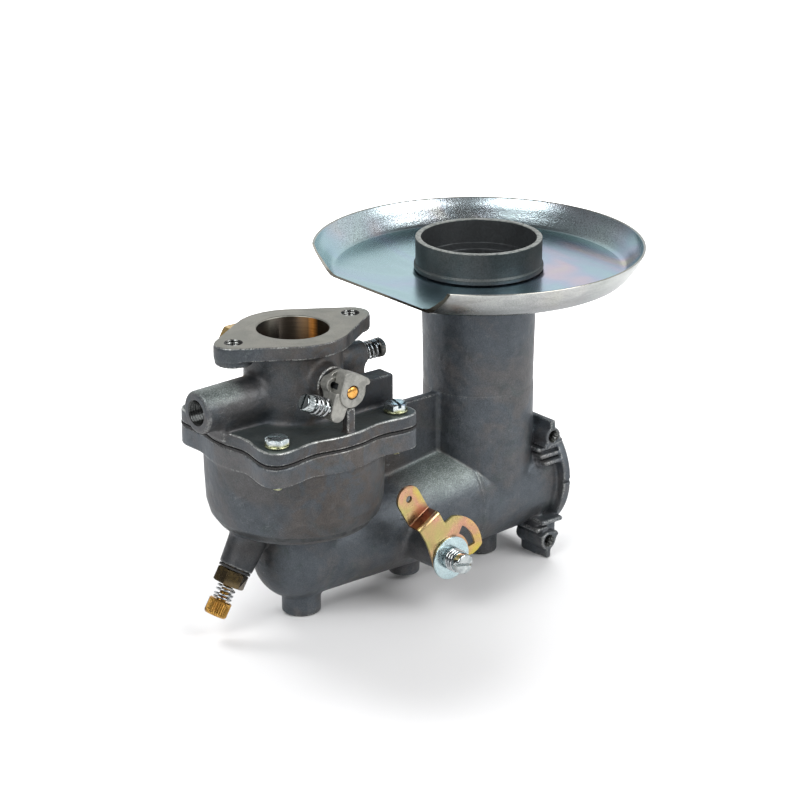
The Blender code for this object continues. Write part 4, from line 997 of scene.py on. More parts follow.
# ---- lower casting ----------------------------------------------------------------------------
STEP = 0.5
field = Field((-50, -44, -3), (126, 42, 126), STEP)
field.add(
    s_turned([(0.0, BODY_TOP), (35.5, BODY_TOP), (35.2, 62.0), (34.6, 50.5), (33.2, 45.5), (30.2, 41.4), (25.4, 39.0), (18.5, 37.6), (0.0, 37.6)]),
    0.5,
)
field.add(s_plate(bowl_outline(BOWL_R, LUG_R), "Z", BAND_LOW, BODY_TOP, 0.25), 1.6)
field.add(s_rod((0, 0, ELBOW_Z), (0, 0, 44.0), ELBOW_R - 0.1), 1.8)
field.add(s_ball((0, 0, ELBOW_Z), ELBOW_R), 0.5)
field.add(s_rod((0.5, 0, ELBOW_Z), (80.0, 0, 29.6), ELBOW_R - 0.1, BARREL_R - 0.1, 0.1), 1.2)
field.add(s_rod((79.0, 0, 29.6), (119.0, 0, 31.6), BARREL_R, BARREL_R, 0.1), 1.0)
field.add(
    s_turned([(0.0, TUBE_TOP), (23.3, TUBE_TOP), (22.35, 76.0), (22.6, 75.6), (22.3, 30.0), (0.0, 30.0)], TUBE_X + 0.3),
    0.35,
)
field.add(s_brick((30.0, -2.0, 30.0), (76.0, 2.0, 75.8), 0.5), 2.0)
field.add(s_rod((55.0, 0, 2.0), (55.0, 0, 22.0), 6.3, 6.8, 1.0), 2.4)
field.add(s_rod((96.8, 0, 0.3), (96.8, 0, 20.0), 6.2, 6.6, 0.8), 2.4)
field.add(s_rod((FOOT_X, 0, 0.0), (FOOT_X, 0, 20.0), FOOT_R, FOOT_R, 0.7), 2.2)
field.add(s_rod(along(18.0), along(56.0), 9.6, 6.7, 0.5), 1.4)
field.add(s_rod((CHOKE_X, -37.0, CHOKE_Z), (CHOKE_X, -12.0, CHOKE_Z), 6.4, 7.2, 0.5), 2.4)
field.add(s_rod((CHOKE_X, 12.0, CHOKE_Z), (CHOKE_X, 26.0, CHOKE_Z), 7.0, 6.2, 0.8), 2.4)
field.add(s_rod((118.3, 0, 33.0), (121.9, 0, 33.0), 26.6, 26.6, 0.5), 1.2)
for side in (-1, 1):
    far, near = 24.6 * side, 9.0 * side

    def bar_box(x0, z0, x1, z1, reach, edge, k):
        lo, hi = sorted((reach * side, near))
        field.add(s_brick((x0, lo, z0), (x1, hi, z1), edge), k)

    # upper lug: fin, ring, toe and three stepped bars over a solid core
    bar_box(112.2, 52.0, 114.8, 60.4, 24.6, 0.6, 0.8)
    bar_box(112.2, 38.0, 114.8, 58.0, 19.0, 0.6, 1.2)
    bar_box(110.2, 40.2, 120.0, 50.8, 20.6, 0.6, 0.8)
    field.add(s_rod((113.6, 8.0 * side, 53.4), (113.6, far, 53.4), 3.75, 3.75, 0.35), 0.7)
    field.add(s_plate([(109.0, 49.2), (118.4, 50.0), (119.0, 51.4), (116.8, 52.4), (110.8, 52.6)], "Y", min(far, near), max(far, near), 0.4), 0.6)
    bar_box(107.8, 46.6, 120.0, 48.6, 22.0, 0.85, 0.6)
    bar_box(108.4, 43.8, 120.0, 45.8, 23.3, 0.85, 0.6)
    bar_box(109.4, 41.0, 120.0, 43.0, 24.6, 0.9, 0.6)
    # lower lug, the same way up from its fin
    bar_box(111.0, 0.0, 113.6, 8.0, 24.6, 0.7, 0.8)
    bar_box(111.0, 0.0, 113.6, 24.0, 19.0, 0.7, 1.2)
    bar_box(109.2, 8.0, 119.4, 16.9, 20.6, 0.7, 0.8)
    field.add(s_rod((112.3, 8.0 * side, 7.6), (112.3, far, 7.6), 3.85, 3.85, 0.35), 0.7)
    field.add(s_plate([(109.6, 6.6), (108.4, 9.8), (110.8, 11.0), (117.0, 10.9), (117.8, 9.6), (115.8, 7.2)], "Y", min(far, near), max(far, near), 0.4), 0.6)
    bar_box(107.6, 11.2, 114.0, 13.2, 22.6, 0.85, 0.6)
    bar_box(108.6, 14.9, 120.0, 16.9, 24.6, 0.9, 0.6)
field.cut(s_brick((117.2, -32, 54.8), (124, 32, 66.0), 0.1), 0.4)
field.cut(s_brick((119.2, -32, 2.0), (124, 32, 9.6), 0.1), 0.4)
lower = field.skin("lower_casting")
cuts = [
    revolve("c_chamber", soft([(32.3, 84.0), (31.8, 52.0), (29.8, 46.0), (26.0, 43.0), (16.4, 43.0), (16.4, 84.0)], 1.2, True), 96, ring=True),
    rod("c_riser", (0, 0, ELBOW_Z), (0, 0, 84.0), 13.5, seg=64),
    revolve("c_turn", [(13.6 * math.sin(math.pi * i / 24), -13.6 * math.cos(math.pi * i / 24)) for i in range(25)], 64, at(0, 0, ELBOW_Z)),
    rod("c_passage", (0, 0, ELBOW_Z), (60.0, 0, ELBOW_Z + 2.0 * 60 / 47.5), 13.5, 17.8, 64),
    rod("c_tube", (TUBE_X, 0, 28.0), (TUBE_X, 0, 126.0), TUBE_BORE_R, seg=80),
    rod("c_mouth", (TUBE_X, 0, 108.0), (TUBE_X, 0, 126.5), 20.6, seg=80),
    rod("c_barrel", (58.0, 0, 27.6), (114.0, 0, 31.2), 17.9, 19.0, 64),
    rod("c_nozzle", along(12.0), along(60.0), 3.1, seg=32),
    rod("c_packing", along(49.0), along(60.0), 4.8, seg=32),
    rod("c_feed", (-24.0, 0, 34.0), (-24.0, 0, 48.0), 1.2, seg=20),
    rod("c_choke", (CHOKE_X, -40.0, CHOKE_Z), (CHOKE_X, 22.0, CHOKE_Z), CHOKE_SHAFT_R + 0.3, seg=32),
    brick("c_notch", (118.0, -28.5, 32.2), (122.5, -25.7, 33.8)),
]
for i, (x, y) in enumerate(SCREW_XY):
    cuts.append(rod(f"c_screw_{i}", (x, y, 60.0), (x, y, 84.0), COVER_SCREW_R + 0.3, seg=24))
for side in (-1, 1):
    cuts.append(threaded_hole(f"c_upper_{side}", (113.6, 24.6 * side, 53.4), (113.6, 12.0 * side, 53.4), 2.2, 0.9, 0.32))
    cuts.append(threaded_hole(f"c_lower_{side}", (112.3, 24.6 * side, 7.6), (112.3, 12.0 * side, 7.6), 2.2, 0.9, 0.32))
combine(lower, cuts, solver="MANIFOLD")
print("lower casting", len(lower.data.polygons))
field.wear(lower)
give(lower, ROOT, ["lower_body"], [CAST, PAINTED_SHADE_INSIDE, TAPPED])


def inside_lower(c, n):
    x, y, z = c[:, 0], c[:, 1], c[:, 2]
    tube = (np.hypot(x - TUBE_X, y) < 20.75) & (z > 50) & (z < 122.3)
    chamber = (np.hypot(x, y) < 32.6) & (z > 42.5) & (z < 78.9)
    lift = 24.0 + np.clip(x, 0, 60) * 0.042
    reach = 13.5 + np.clip(x, 0, 60) * 4.3 / 60
    ducts = (np.hypot(y, z - lift) < reach + 0.35) & (x > 0) & (x < 60.5)
    ducts |= (np.hypot(np.hypot(x, y), z - 24.0) < 14.1) & (x < 1)
    ducts |= (np.hypot(x, y) < 13.9) & (z > 24) & (z < 60)
    ducts |= (np.hypot(y, z - 29.6) < 19.3) & (x > 58) & (x < 114.2)
    return tube | chamber | ducts


def tapped_lower(c, n):
    x, y, z = c[:, 0], c[:, 1], c[:, 2]
    a = np.hypot(x - 113.6, z - 53.4) < 2.75
    b = np.hypot(x - 112.3, z - 7.6) < 2.75
    return (a | b) & (np.abs(y) > 11.5) & (np.abs(y) < 24.7)


# the insides of the lower casting take the painted shade material
mark(lower, 1, inside_lower)
mark(lower, 2, tapped_lower)
shade(lower, 50)

# ---- upper casting ----------------------------------------------------------------------------
STEP_U = 0.42
field = Field((-50, -40, 68), (44, 34, 122), STEP_U)
field.add(s_plate(bowl_outline(BOWL_R, LUG_R), "Z", COVER_LOW, COVER_TOP, 0.45), 0.5)
field.add(s_rod((0, 0, COVER_LOW + 1), (0, 0, FLANGE_TOP - 1.5), NECK_R + 0.6, NECK_R - 0.4, 0.2), 3.0)
field.add(s_plate(rhombic_outline(22.6, 7.4, STUD_HALF), "Z", FLANGE_TOP - FLANGE_MID_T, FLANGE_TOP, 0.3), 2.4)
field.add(s_rod((-STUD_HALF, 0, 110.4), (-STUD_HALF, 0, FLANGE_TOP - 1), 7.3, 7.3, 0.6), 1.2)
field.add(s_rod((STUD_HALF, 0, 111.8), (STUD_HALF, 0, FLANGE_TOP - 1), 7.3, 7.3, 0.6), 1.2)
field.add(s_rod((FUEL_END_X, 0, FUEL_Z), (-8.0, 0, FUEL_Z), FUEL_R, FUEL_R + 0.8, 1.7), 2.6)
field.add(s_brick((-37.0, -5.2, 82.0), (-10.0, 5.2, FUEL_Z), 0.6), 2.6)
field.add(s_rod((10.0, 0, MIXTURE_Z), (33.6, 0, MIXTURE_Z), 6.4, 4.8, 0.6), 2.0)
field.add(s_brick((14.0, -4.4, 92.0), (32.0, 4.4, 99.5), 1.0), 2.0)
field.add(s_rod((0, -24.6, THROTTLE_Z), (0, -10.0, THROTTLE_Z), 6.9, 7.2, 0.5), 2.2)
field.add(s_rod((0, 10.0, THROTTLE_Z), (0, 25.0, THROTTLE_Z), 6.9, 6.6, 0.5), 2.2)
field.add(s_brick((12.0, -20.0, 83.0), (33.5, -11.4, 97.8), 0.9), 1.8)
field.add(s_brick((-0.9, -34.8, 83.0), (2.7, -31.2, 95.2), 0.45), 1.2)
field.add(s_brick((-30.5, -8.9, 71.6), (-27.1, -6.3, 82.0), 0.4), 0.8)
field.add(s_brick((-30.5, 6.3, 71.6), (-27.1, 8.9, 82.0), 0.4), 0.8)
upper = field.skin("upper_casting")
cuts = [
    revolve("c_throat", [(0, 78), (THROAT_R, 78), (THROAT_R, FLANGE_TOP - 0.35), (THROAT_R + 0.9, FLANGE_TOP + 0.55), (THROAT_R + 0.9, 122), (0, 122)], 96),
    rod("c_shaft", (0, -30.0, THROTTLE_Z), (0, 30.0, THROTTLE_Z), SHAFT_R + 0.3, seg=32),
    threaded_hole("c_fuel", (FUEL_END_X, 0, FUEL_Z), (-31.0, 0, FUEL_Z), 4.55, 1.1, 0.4, 0.6, 40),
    rod("c_fuel_drill", (-34.0, 0, FUEL_Z), (-23.0, 0, FUEL_Z), 2.0, seg=20),
    rod("c_seat", (-24.0, 0, 78.0), (-24.0, 0, 92.0), 3.9, seg=32),
    rod("c_seat_drill", (-24.0, 0, 90.0), (-24.0, 0, 96.2), 1.6, seg=20),
    rod("c_mix", (16.5, 0, MIXTURE_Z), (40.0, 0, MIXTURE_Z), 2.5, seg=28),
    rod("c_port", (10.0, 0, MIXTURE_Z), (20.0, 0, MIXTURE_Z), 0.9, seg=16),
    rod("c_pin", (-28.8, -12.0, 74.0), (-28.8, 12.0, 74.0), 1.1, seg=20),
]
for side in (-1, 1):
    cuts.append(threaded_hole(f"c_stud_{side}", (STUD_HALF * side, 0, FLANGE_TOP), (STUD_HALF * side, 0, 108.8), STUD_HOLE_R - 0.1, 1.0, 0.32, 0.35, 32))
for i, (x, y) in enumerate(SCREW_XY):
    cuts.append(rod(f"c_clear_{i}", (x, y, 78.0), (x, y, 88.0), COVER_SCREW_R + 0.4, seg=24))
combine(upper, cuts, solver="MANIFOLD")
print("upper casting", len(upper.data.polygons))
field.wear(upper)
give(upper, ROOT, ["upper_body"], [CAST_TOP, MACHINED, BORE, TAPPED])
mark(upper, 1, lambda c, n: (c[:, 2] > FLANGE_TOP - 0.12) & (n[:, 2] > 0.9))
mark(upper, 1, lambda c, n: (np.hypot(c[:, 0], c[:, 1]) < 15.2) & (np.hypot(c[:, 0], c[:, 1]) > 14.02) & (c[:, 2] > 117.9))
mark(upper, 2, lambda c, n: (np.hypot(c[:, 0], c[:, 1]) < 14.05) & (c[:, 2] > 79.0) & (c[:, 2] < 118.3))
mark(
    upper,
    3,
    lambda c, n: ((np.hypot(np.abs(c[:, 0]) - STUD_HALF, c[:, 1]) < 3.85) & (c[:, 2] < 118.49) & (c[:, 2] > 108.0) & (np.abs(n[:, 2]) < 0.9))
    | ((np.hypot(c[:, 1], c[:, 2] - FUEL_Z) < 5.3) & (c[:, 0] < -30) & (c[:, 0] > -45.8)),
)
shade(upper, 50)

# ---- gasket, venturi ---------------------------------------------------------------------------
gasket = prism(
    "cover_gasket",
    [bowl_outline(BOWL_R + 0.1, LUG_R + 0.1), circle(0, 0, 32.4, 96)] + [circle(x, y, COVER_SCREW_R + 0.5, 24) for x, y in SCREW_XY],
    GASKET_LOW,
    GASKET_TOP,
)
give(shade(gasket), ROOT, ["body_gasket"], [FIBRE])
tube = revolve(
    "venturi_tube",
    soft([(16.6, 79.95), (16.6, 79.3), (13.2, 79.3), (13.2, 59.5), (12.7, 59.5), (11.3, 64.0), (10.7, 67.5), (10.8, 72.0), (11.8, 76.5), (12.9, 79.95)], 0.5, True),
    80,
    ring=True,
)
give(shade(tube), ROOT, ["venturi"], [BRASS])

# ---- pan and collar ------------------------------------------------------------------------------
pan_profile = [
    (PAN_RIM_R, PAN_RIM_Z), (66.35, PAN_RIM_Z - 1.4), (65.35, PAN_RIM_Z - 3.3), (64.0, PAN_LOW + 5.6), (62.3, PAN_LOW + 3.2), (60.7, PAN_LOW + 1.25),
    (59.7, PAN_LOW + 0.3), (58.6, PAN_LOW), (57.4, PAN_LOW), (23.4, PAN_LOW), (23.4, PAN_LOW + PAN_T - 0.2), (27.0, PAN_LOW + PAN_T - 0.2), (27.6, PAN_LOW + PAN_T), (28.8, PAN_LOW + PAN_T),
    (56.4, PAN_LOW + PAN_T), (57.8, PAN_LOW + PAN_T), (58.8, PAN_LOW + PAN_T + 0.3), (59.8, PAN_LOW + PAN_T + 1.2), (61.4, PAN_LOW + PAN_T + 3.1),
    (63.1, PAN_LOW + PAN_T + 5.4), (64.3, PAN_RIM_Z - 3.2), (65.25, PAN_RIM_Z - 1.4), (65.75, PAN_RIM_Z),
]
pan = revolve("cleaner_pan", soft(pan_profile, 0.45, True, 3, 30), 288, at(TUBE_X, 0, 0), ring=True)
combine(pan, [brick("c_chord", (10.0, -90.0, 110.0), (TUBE_X - PAN_CHORD, 90.0, 150.0))], solver="MANIFOLD")
rim(pan, 0.2, 2, 50)
give(shade(pan, 40), ROOT, ["air_cleaner_pan"], [PLATE])
weigh = pan.modifiers.new("weigh", "WEIGHTED_NORMAL")
weigh.mode, weigh.keep_sharp, weigh.weight = "FACE_AREA", True, 90

collar_profile = soft(
    [(COLLAR_R, COLLAR_TOP), (COLLAR_R, 126.6), (COLLAR_R + 0.6, 126.0), (COLLAR_R + 0.6, 124.2), (20.3, 124.2), (20.3, 110.5), (19.2, 110.5), (19.2, 125.6), (COLLAR_BORE_R, 126.9), (COLLAR_BORE_R, COLLAR_TOP)],
    0.38,
    True,
)
collar = revolve("inlet_collar", collar_profile, 160, at(TUBE_X, 0, 0), ring=True)
give(shade(collar, 40), ROOT, ["intake_collar"], [COLLAR, PAINTED_SHADE_INSIDE])
# the collar's bore takes the painted shade material
mark(collar, 1, lambda c, n: (np.hypot(c[:, 0] - TUBE_X, c[:, 1]) < COLLAR_BORE_R + 0.05) & (c[:, 2] < COLLAR_TOP - 0.5))

# ---- cover screws ------------------------------------------------------------------------------
for i, (x, y) in enumerate(SCREW_XY):
    tag = ("front_left", "front_right", "rear_right", "rear_left")[i]
    base = COVER_TOP + 0.3
    spin = Matrix.Rotation(math.radians((12, 40, 5, 25)[i]), 4, "Z")
    head = prism(f"head_{tag}", [circle(0, 0, 4.62, 6)], 0.45, 3.75, at(x, y, base) @ spin)
    dome = revolve("c_dome", soft([(0, 0.2), (5.6, 0.2), (4.85, 2.6), (3.75, 3.62), (2.2, 3.72), (0, 3.72)], 0.5), 64, at(x, y, base))
    combine(head, [dome], "INTERSECT")
    low = BAND_LOW - 3.0
    top = base + 0.6
    profile = [(0, low), (COVER_SCREW_R - 0.75, low), (COVER_SCREW_R - 0.05, low + 0.7)]
    profile += thread_profile(COVER_SCREW_R, low + 0.75, 79.0, 0.8)
    profile += [(COVER_SCREW_R, base), (COVER_SCREW_R, top), (0, top)]
    shank = revolve("shank", profile, 32, at(x, y, 0), ripple=thread_ripple(0.8, 0.3, low + 0.2, 79.0, 2.0))
    washer = revolve("face", soft([(0, 0.0), (4.7, 0.0), (4.7, 0.55), (4.35, 0.85), (0, 0.85)], 0.18), 64, at(x, y, base))
    combine(head, [washer, shank], "UNION")
    turn = Matrix.Rotation(math.radians((-35, 75, 20, 110)[i]), 3, "Z")
    combine(head, [brick("c_slot", (x - 6, y - 0.62, base + 2.15), (x + 6, y + 0.62, base + 6), turn)])
    rim(head, 0.11, 2, 40)
    head.name = f"cover_screw_look_{tag}"
    give(shade(head, 40), ROOT, [f"cover_screw_{tag}"], [SCREW])

# ---- throttle ------------------------------------------------------------------------------------
TILT = Matrix.Translation((0, 0, THROTTLE_Z)) @ Matrix.Rotation(math.radians(THROTTLE_TILT), 4, "Y")
FORE = Matrix.Rotation(math.pi / 2, 4, "X")  # +Z of a turned profile to -Y

shaft_profile = soft(
    [(0, -33.0), (2.7, -33.0), (SHAFT_R, -32.5), (SHAFT_R, 31.5), (2.5, 31.6), (2.5, 36.5), (2.1, 37.05), (1.3, 37.35), (0, 37.45)], 0.25
)
shaft = revolve("throttle_shaft_look", shaft_profile, 64, TILT @ FORE)
flat = brick("c_flat", (-5, -13.6, 0.0), (5, 13.6, 6))
for other in (flat,):
    other.data.transform(Matrix.Translation((0, 0, THROTTLE_Z * MM)) @ Matrix.Rotation(math.radians(THROTTLE_TILT), 4, "Y"))
holes = [rod("c_h", TILT @ Vector((0, y, -1.9)), TILT @ Vector((0, y, 4)), 1.35, seg=24) for y in (-6.5, 6.5)]
combine(shaft, [flat] + holes)
give(shade(shaft, 40), "throttle", ["throttle_shaft"], [COPPER])
disc = revolve("throttle_disc", soft([(0, 0.3), (13.5, 0.3), (13.5, 1.5), (0, 1.5)], 0.22), 128, TILT)
combine(disc, [rod("c_h", TILT @ Vector((0, y, -1)), TILT @ Vector((0, y, 4)), 1.4, seg=24) for y in (-6.5, 6.5)])
give(shade(disc, 35), "throttle", ["throttle_plate"], [BRASS])


def plate_screw(name, frame_, y, low):
    made = revolve(name, soft([(0, low), (0.8, low), (1.05, low + 0.3), (1.05, 1.8), (2.7, 1.8), (2.55, 2.5), (1.9, 3.2), (0.8, 3.5), (0, 3.5)], 0.16), 48, frame_ @ at(0, y, 0))
    slot = brick("c_slot", (-4, y - 0.32, 2.75), (4, y + 0.32, 5))
    metres = frame_.copy()
    metres.translation = frame_.translation * MM
    slot.data.transform(metres)
    return shade(combine(made, [slot]), 35)


for tag, y in (("front", -6.5), ("rear", 6.5)):
    give(plate_screw(f"throttle_screw_look_{tag}", TILT, y, -1.5), "throttle", [f"throttle_plate_screw_{tag}"], [ZINC])

Z0 = THROTTLE_Z
SCREW_START = Vector((-20.4, -33.0, 102.4))
SCREW_DIR = Vector((0.907, 0.0, -0.421)).normalized()


def screw_at(distance):
    return SCREW_START + SCREW_DIR * distance


front = [(-3.3, Z0 + 7.9), (-0.7, Z0 + 8.1), (1.3, Z0 + 7.4), (5.6, Z0 + 5.3), (7.8, Z0 + 3.9), (8.6, Z0 + 2.5), (8.1, Z0 + 1.4), (6.3, Z0 + 1.5), (6.1, Z0 - 1.8), (4.4, Z0 - 4.6), (1.2, Z0 - 6.2), (-2.4, Z0 - 5.8), (-4.9, Z0 - 3.6), (-5.7, Z0 - 0.4), (-5.3, Z0 + 1.0)]
lobe = [(-6.3, Z0 + 1.0), (-0.6, Z0 - 5.6), (-2.0, Z0 - 7.6), (-3.2, Z0 - 10.4), (-5.6, Z0 - 11.4), (-8.2, Z0 - 10.4), (-9.2, Z0 - 8.0), (-8.4, Z0 - 4.0)]
field = Field((-12, -39, Z0 - 14), (12, -25, Z0 + 12), 0.19)
field.add(s_rod((0, -36.6, Z0), (0, -27.0, Z0), 4.6, 4.6, 0.3), 0.3)
field.add(s_rod((0, -28.6, Z0), (0, -26.8, Z0), 6.7, 6.7, 0.35), 0.6)
field.add(s_rod((-4.9, -31.2, Z0 + 2.6), (-4.9, -26.8, Z0 + 2.6), 2.9, 2.9, 0.3), 0.9)
field.add(s_plate(soft(front, 0.7, True), "Y", -36.8, -31.6, 0.32), 0.3)
field.add(s_plate(soft(lobe, 1.0, True), "Y", -35.4, -28.2, 0.4), 0.5)
stop = field.skin("throttle_stop_look")
combine(
    stop,
    [
        rod("c_b1", (0, -40, Z0), (0, -20, Z0), 2.8, seg=48),
        rod("c_b2", (0, -31.8, Z0), (0, -20, Z0), SHAFT_R + 0.3, seg=48),
        rod("c_b3", screw_at(4.0), screw_at(24.0), 1.9, seg=32),
        rod("c_b4", (-4.9, -34.0, Z0 + 2.6), (-4.9, -26.0, Z0 + 2.6), 1.3, seg=28),
    ],
    solver="MANIFOLD",
)
give(shade(stop, 45), "throttle", ["throttle_stop_lever"], [LEVER, PAINTED_SHADE_INSIDE])
# the lever's pin hole takes the painted shade material
mark(stop, 1, lambda c, n: (np.hypot(c[:, 0] + 4.9, c[:, 2] - Z0 - 2.6) < 1.36) & (c[:, 1] > -31.3))


def hex_piece(name, p, q, across, chamfer, collar=None, bore=None):
    """A hexagonal nut from p to q with turned chamfers, an optional collar at p and a bore."""
    length = (Vector(q) - Vector(p)).length
    matrix = aim(p, q)
    made = prism(name, [circle(0, 0, across, 6)], 0.0, length, matrix)
    turned_ = revolve("c_ch", [(0, -0.1), (across - chamfer, -0.1), (across + 0.2, chamfer * 0.62), (across + 0.2, length - chamfer * 0.62), (across - chamfer, length + 0.1), (0, length + 0.1)], 64, matrix)
    combine(made, [turned_], "INTERSECT")
    if collar is not None:
        combine(made, [revolve("collar", soft([(0, collar[0]), (collar[2], collar[0]), (collar[2], collar[1]), (0, collar[1])], 0.3), 64, matrix)], "UNION")
    if bore is not None:
        combine(made, [rod("c_bore", matrix @ Vector((0, 0, bore[0])), matrix @ Vector((0, 0, bore[1])), bore[2], seg=40)])
    return shade(rim(made, 0.14, 2, 40), 40)


nut = hex_piece("shaft_nut_look", (0, 29.6, Z0), (0, 39.6, Z0), 8.1, 0.9, (-2.2, 0.6, 5.6), (-4.0, 4.0, SHAFT_R + 0.3))
give(nut, "throttle", ["throttle_shaft_nut"], [PALE_BRASS])


def knurl(count, depth, least, z0, z1):
    def ripple(r, z, t):
        if r < least or z < z0 or z > z1:
            return r
        return r - depth * (0.5 + 0.5 * math.cos(count * t)) ** 0.7

    return ripple


def headed_screw(name, p, q, head_r, head_len, shank_r, total, tip_r, ribs=26, slot_w=0.95, slot_d=1.5, pitch=0.75, thread=(4.0, 20.0), tip_len=0.7):
    """A knurled, slotted head at p with a threaded shank running to q."""
    matrix = aim(p, q)
    profile = soft([(0, 0.0), (head_r - 0.55, 0.0), (head_r, 0.55)], 0.2)
    profile += [(head_r, 0.75 + (head_len - 1.4) * k / 4) for k in range(5)]
    profile += [(head_r, head_len - 0.45), (head_r - 0.4, head_len), (shank_r, head_len)]
    profile += thread_profile(shank_r, head_len + 0.1, total - tip_len - 0.05, pitch)
    profile += [(shank_r, total - tip_len), (tip_r, total), (0, total)]
    threads = thread_ripple(pitch, 0.22, thread[0], thread[1], shank_r - 0.1)
    ribbed = knurl(ribs, 0.2, head_r - 0.02, 0.6, head_len - 0.5)

    def ripple(r, z, t):
        return ribbed(r, z, t) if z < head_len else threads(r, z, t)

    made = revolve(name, profile, ribs * 5, matrix, ripple=ripple)
    slot = prism("c_slot", [[(-head_r - 2, -slot_w / 2), (head_r + 2, -slot_w / 2), (head_r + 2, slot_w / 2), (-head_r - 2, slot_w / 2)]], -1.0, slot_d, matrix @ Matrix.Rotation(math.radians(90), 4, "Z"))
    combine(made, [slot])
    return shade(rim(made, 0.07, 1, 50), 40)


idle = headed_screw("idle_screw_look", screw_at(0), screw_at(20.7), 3.3, 3.8, 1.6, 20.7, 0.9, 22, 1.0, 1.5, thread=(4.2, 19.5))
give(idle, "idle_speed_adjuster", ["idle_speed_screw"], [ZINC])
give(coil("idle_spring_look", screw_at(4.1), screw_at(11.0), 3.4, 0.48, 3.3), "throttle", ["idle_speed_spring"], [SPRING])

MIX_HEAD = (43.3, 0, MIXTURE_Z)
needle = headed_screw("mixture_needle_look", MIX_HEAD, (17.0, 0, MIXTURE_Z), 3.9, 2.8, 2.2, 26.3, 0.25, 20, 0.9, 1.35, thread=(3.2, 20.0), tip_len=4.9)
give(needle, "idle_mixture_adjuster", ["idle_mixture_needle"], [DARK_STEEL])
give(coil("mixture_spring_look", (33.9, 0, MIXTURE_Z), (40.3, 0, MIXTURE_Z), 3.35, 0.46, 3.4), ROOT, ["idle_mixture_spring"], [SPRING])

# ---- main nozzle, needle valve, packing ------------------------------------------------------
NOZZLE = aim(along(0), along(10))
nozzle = revolve("nozzle_look", soft([(1.2, 5.0), (2.3, 5.0), (2.75, 6.2), (2.75, 48.0), (2.0, 48.6), (2.0, 43.5), (1.2, 42.0)], 0.15, True), 48, NOZZLE, ring=True)
give(shade(nozzle), ROOT, ["main_nozzle"], [BRASS])
packing = revolve("packing_washer_look", soft([(4.9, 56.3), (6.5, 56.3), (6.5, 57.2), (4.9, 57.2)], 0.2, True), 64, NOZZLE, ring=True)
give(shade(packing), ROOT, ["packing_washer"], [FIBRE])
nut = hex_piece("packing_nut_look", along(57.5), along(63.4), 6.4, 0.8, (-7.1, 0.5, 4.4), (-9.5, 8.5, 2.25))
give(nut, ROOT, ["packing_nut"], [NUT])
profile = [(0, 42.6), (0.3, 42.9), (1.6, 48.4), (1.9, 49.4)]
profile += thread_profile(1.9, 50.0, 69.6, 0.8, 6)
profile += [(1.9, 69.8), (4.2, 69.8), (4.6, 70.2)] + [(4.6, 70.4 + 0.6 * k) for k in range(8)] + [(4.6, 75.2), (4.45, 75.7), (4.0, 76.2), (3.0, 76.3), (0, 76.3)]
ribs = knurl(36, 0.3, 4.55, 70.3, 75.3)
threads = thread_ripple(0.8, 0.16, 50.0, 69.5, 1.85)
knob = revolve("needle_valve_look", profile, 252, NOZZLE, ripple=lambda r, z, t: ribs(r, z, t) if z > 69.7 else threads(r, z, t))
give(shade(knob, 40), "main_needle_valve", ["main_needle"], [BRASS])
give(coil("needle_spring_look", along(63.7), along(69.5), 3.45, 0.48, 3.3), ROOT, ["needle_spring"], [SPRING])

# ---- float and inlet valve ---------------------------------------------------------------------
ring_ = revolve("float_look", soft([(29.2, 69.6), (29.2, 57.5), (19.2, 57.5), (19.2, 69.6)], 1.4, True, 5), 128, ring=True)
combine(
    ring_,
    [
        brick("arm", (-27.2, -3.0, 69.0), (-20.4, 3.0, 73.4)),
        rod("knuckle", (-28.8, -5.9, 74.0), (-28.8, 5.9, 74.0), 2.1, seg=32),
        brick("tang", (-28.8, -3.0, 72.3), (-21.0, 3.0, 73.6)),
    ],
    "UNION",
)
combine(ring_, [rod("c_pin", (-28.8, -9, 74.0), (-28.8, 9, 74.0), 1.2, seg=24)])
give(shade(ring_, 35), "float_assembly", ["float"], [BRASS])
pin = revolve("float_pin_look", soft([(0, 0), (0.8, 0), (0.8, 17.6), (0, 17.6)], 0.2), 32, aim((-28.8, -8.8, 74.0), (-28.8, 8.8, 74.0)))
give(shade(pin), ROOT, ["float_hinge_pin"], [SPRING])
seat = revolve("inlet_seat_look", soft([(3.6, 89.6), (3.6, 79.4), (2.6, 79.4), (2.6, 86.6), (1.3, 87.8), (1.3, 89.6)], 0.2, True), 48, at(-24, 0, 0), ring=True)
give(shade(seat), ROOT, ["inlet_seat"], [BRASS])
valve = revolve("inlet_needle_look", soft([(0, 88.1), (0.5, 87.9), (1.9, 84.9), (2.2, 84.3), (2.2, 75.8), (1.0, 75.2), (1.0, 74.1), (0, 73.9)], 0.15), 32, at(-24, 0, 0))
give(shade(valve), "inlet_valve", ["inlet_needle"], [DARK_STEEL])

# ---- choke -------------------------------------------------------------------------------------
CHOKE = Matrix.Translation((CHOKE_X, 0, CHOKE_Z))
shaft = revolve("choke_shaft_look", soft([(0, -21.4), (CHOKE_SHAFT_R, -21.4), (CHOKE_SHAFT_R, 37.3), (0, 37.3)], 0.4), 48, CHOKE @ FORE)
flat = brick("c_flat", (CHOKE_X - 5, -17.0, CHOKE_Z), (CHOKE_X + 5, 17.0, CHOKE_Z + 6))
tap = rod("c_tap", (CHOKE_X, -40, CHOKE_Z), (CHOKE_X, -30, CHOKE_Z), 1.9, seg=32)
combine(shaft, [flat, tap] + [rod("c_h", (CHOKE_X, y, CHOKE_Z - 1.8), (CHOKE_X, y, CHOKE_Z + 4), 1.35, seg=24) for y in (-8, 8)])
give(shade(shaft), "choke", ["choke_shaft"], [BRASS])
disc = revolve("choke_disc", soft([(0, 0.3), (15.8, 0.3), (15.8, 1.5), (0, 1.5)], 0.22), 128, CHOKE @ at(-CHOKE_OFFSET, 0, 0))
combine(disc, [rod("c_h", (CHOKE_X, y, CHOKE_Z - 1), (CHOKE_X, y, CHOKE_Z + 4), 1.4, seg=24) for y in (-8, 8)])
give(shade(disc, 35), "choke", ["choke_plate"], [ZINC])
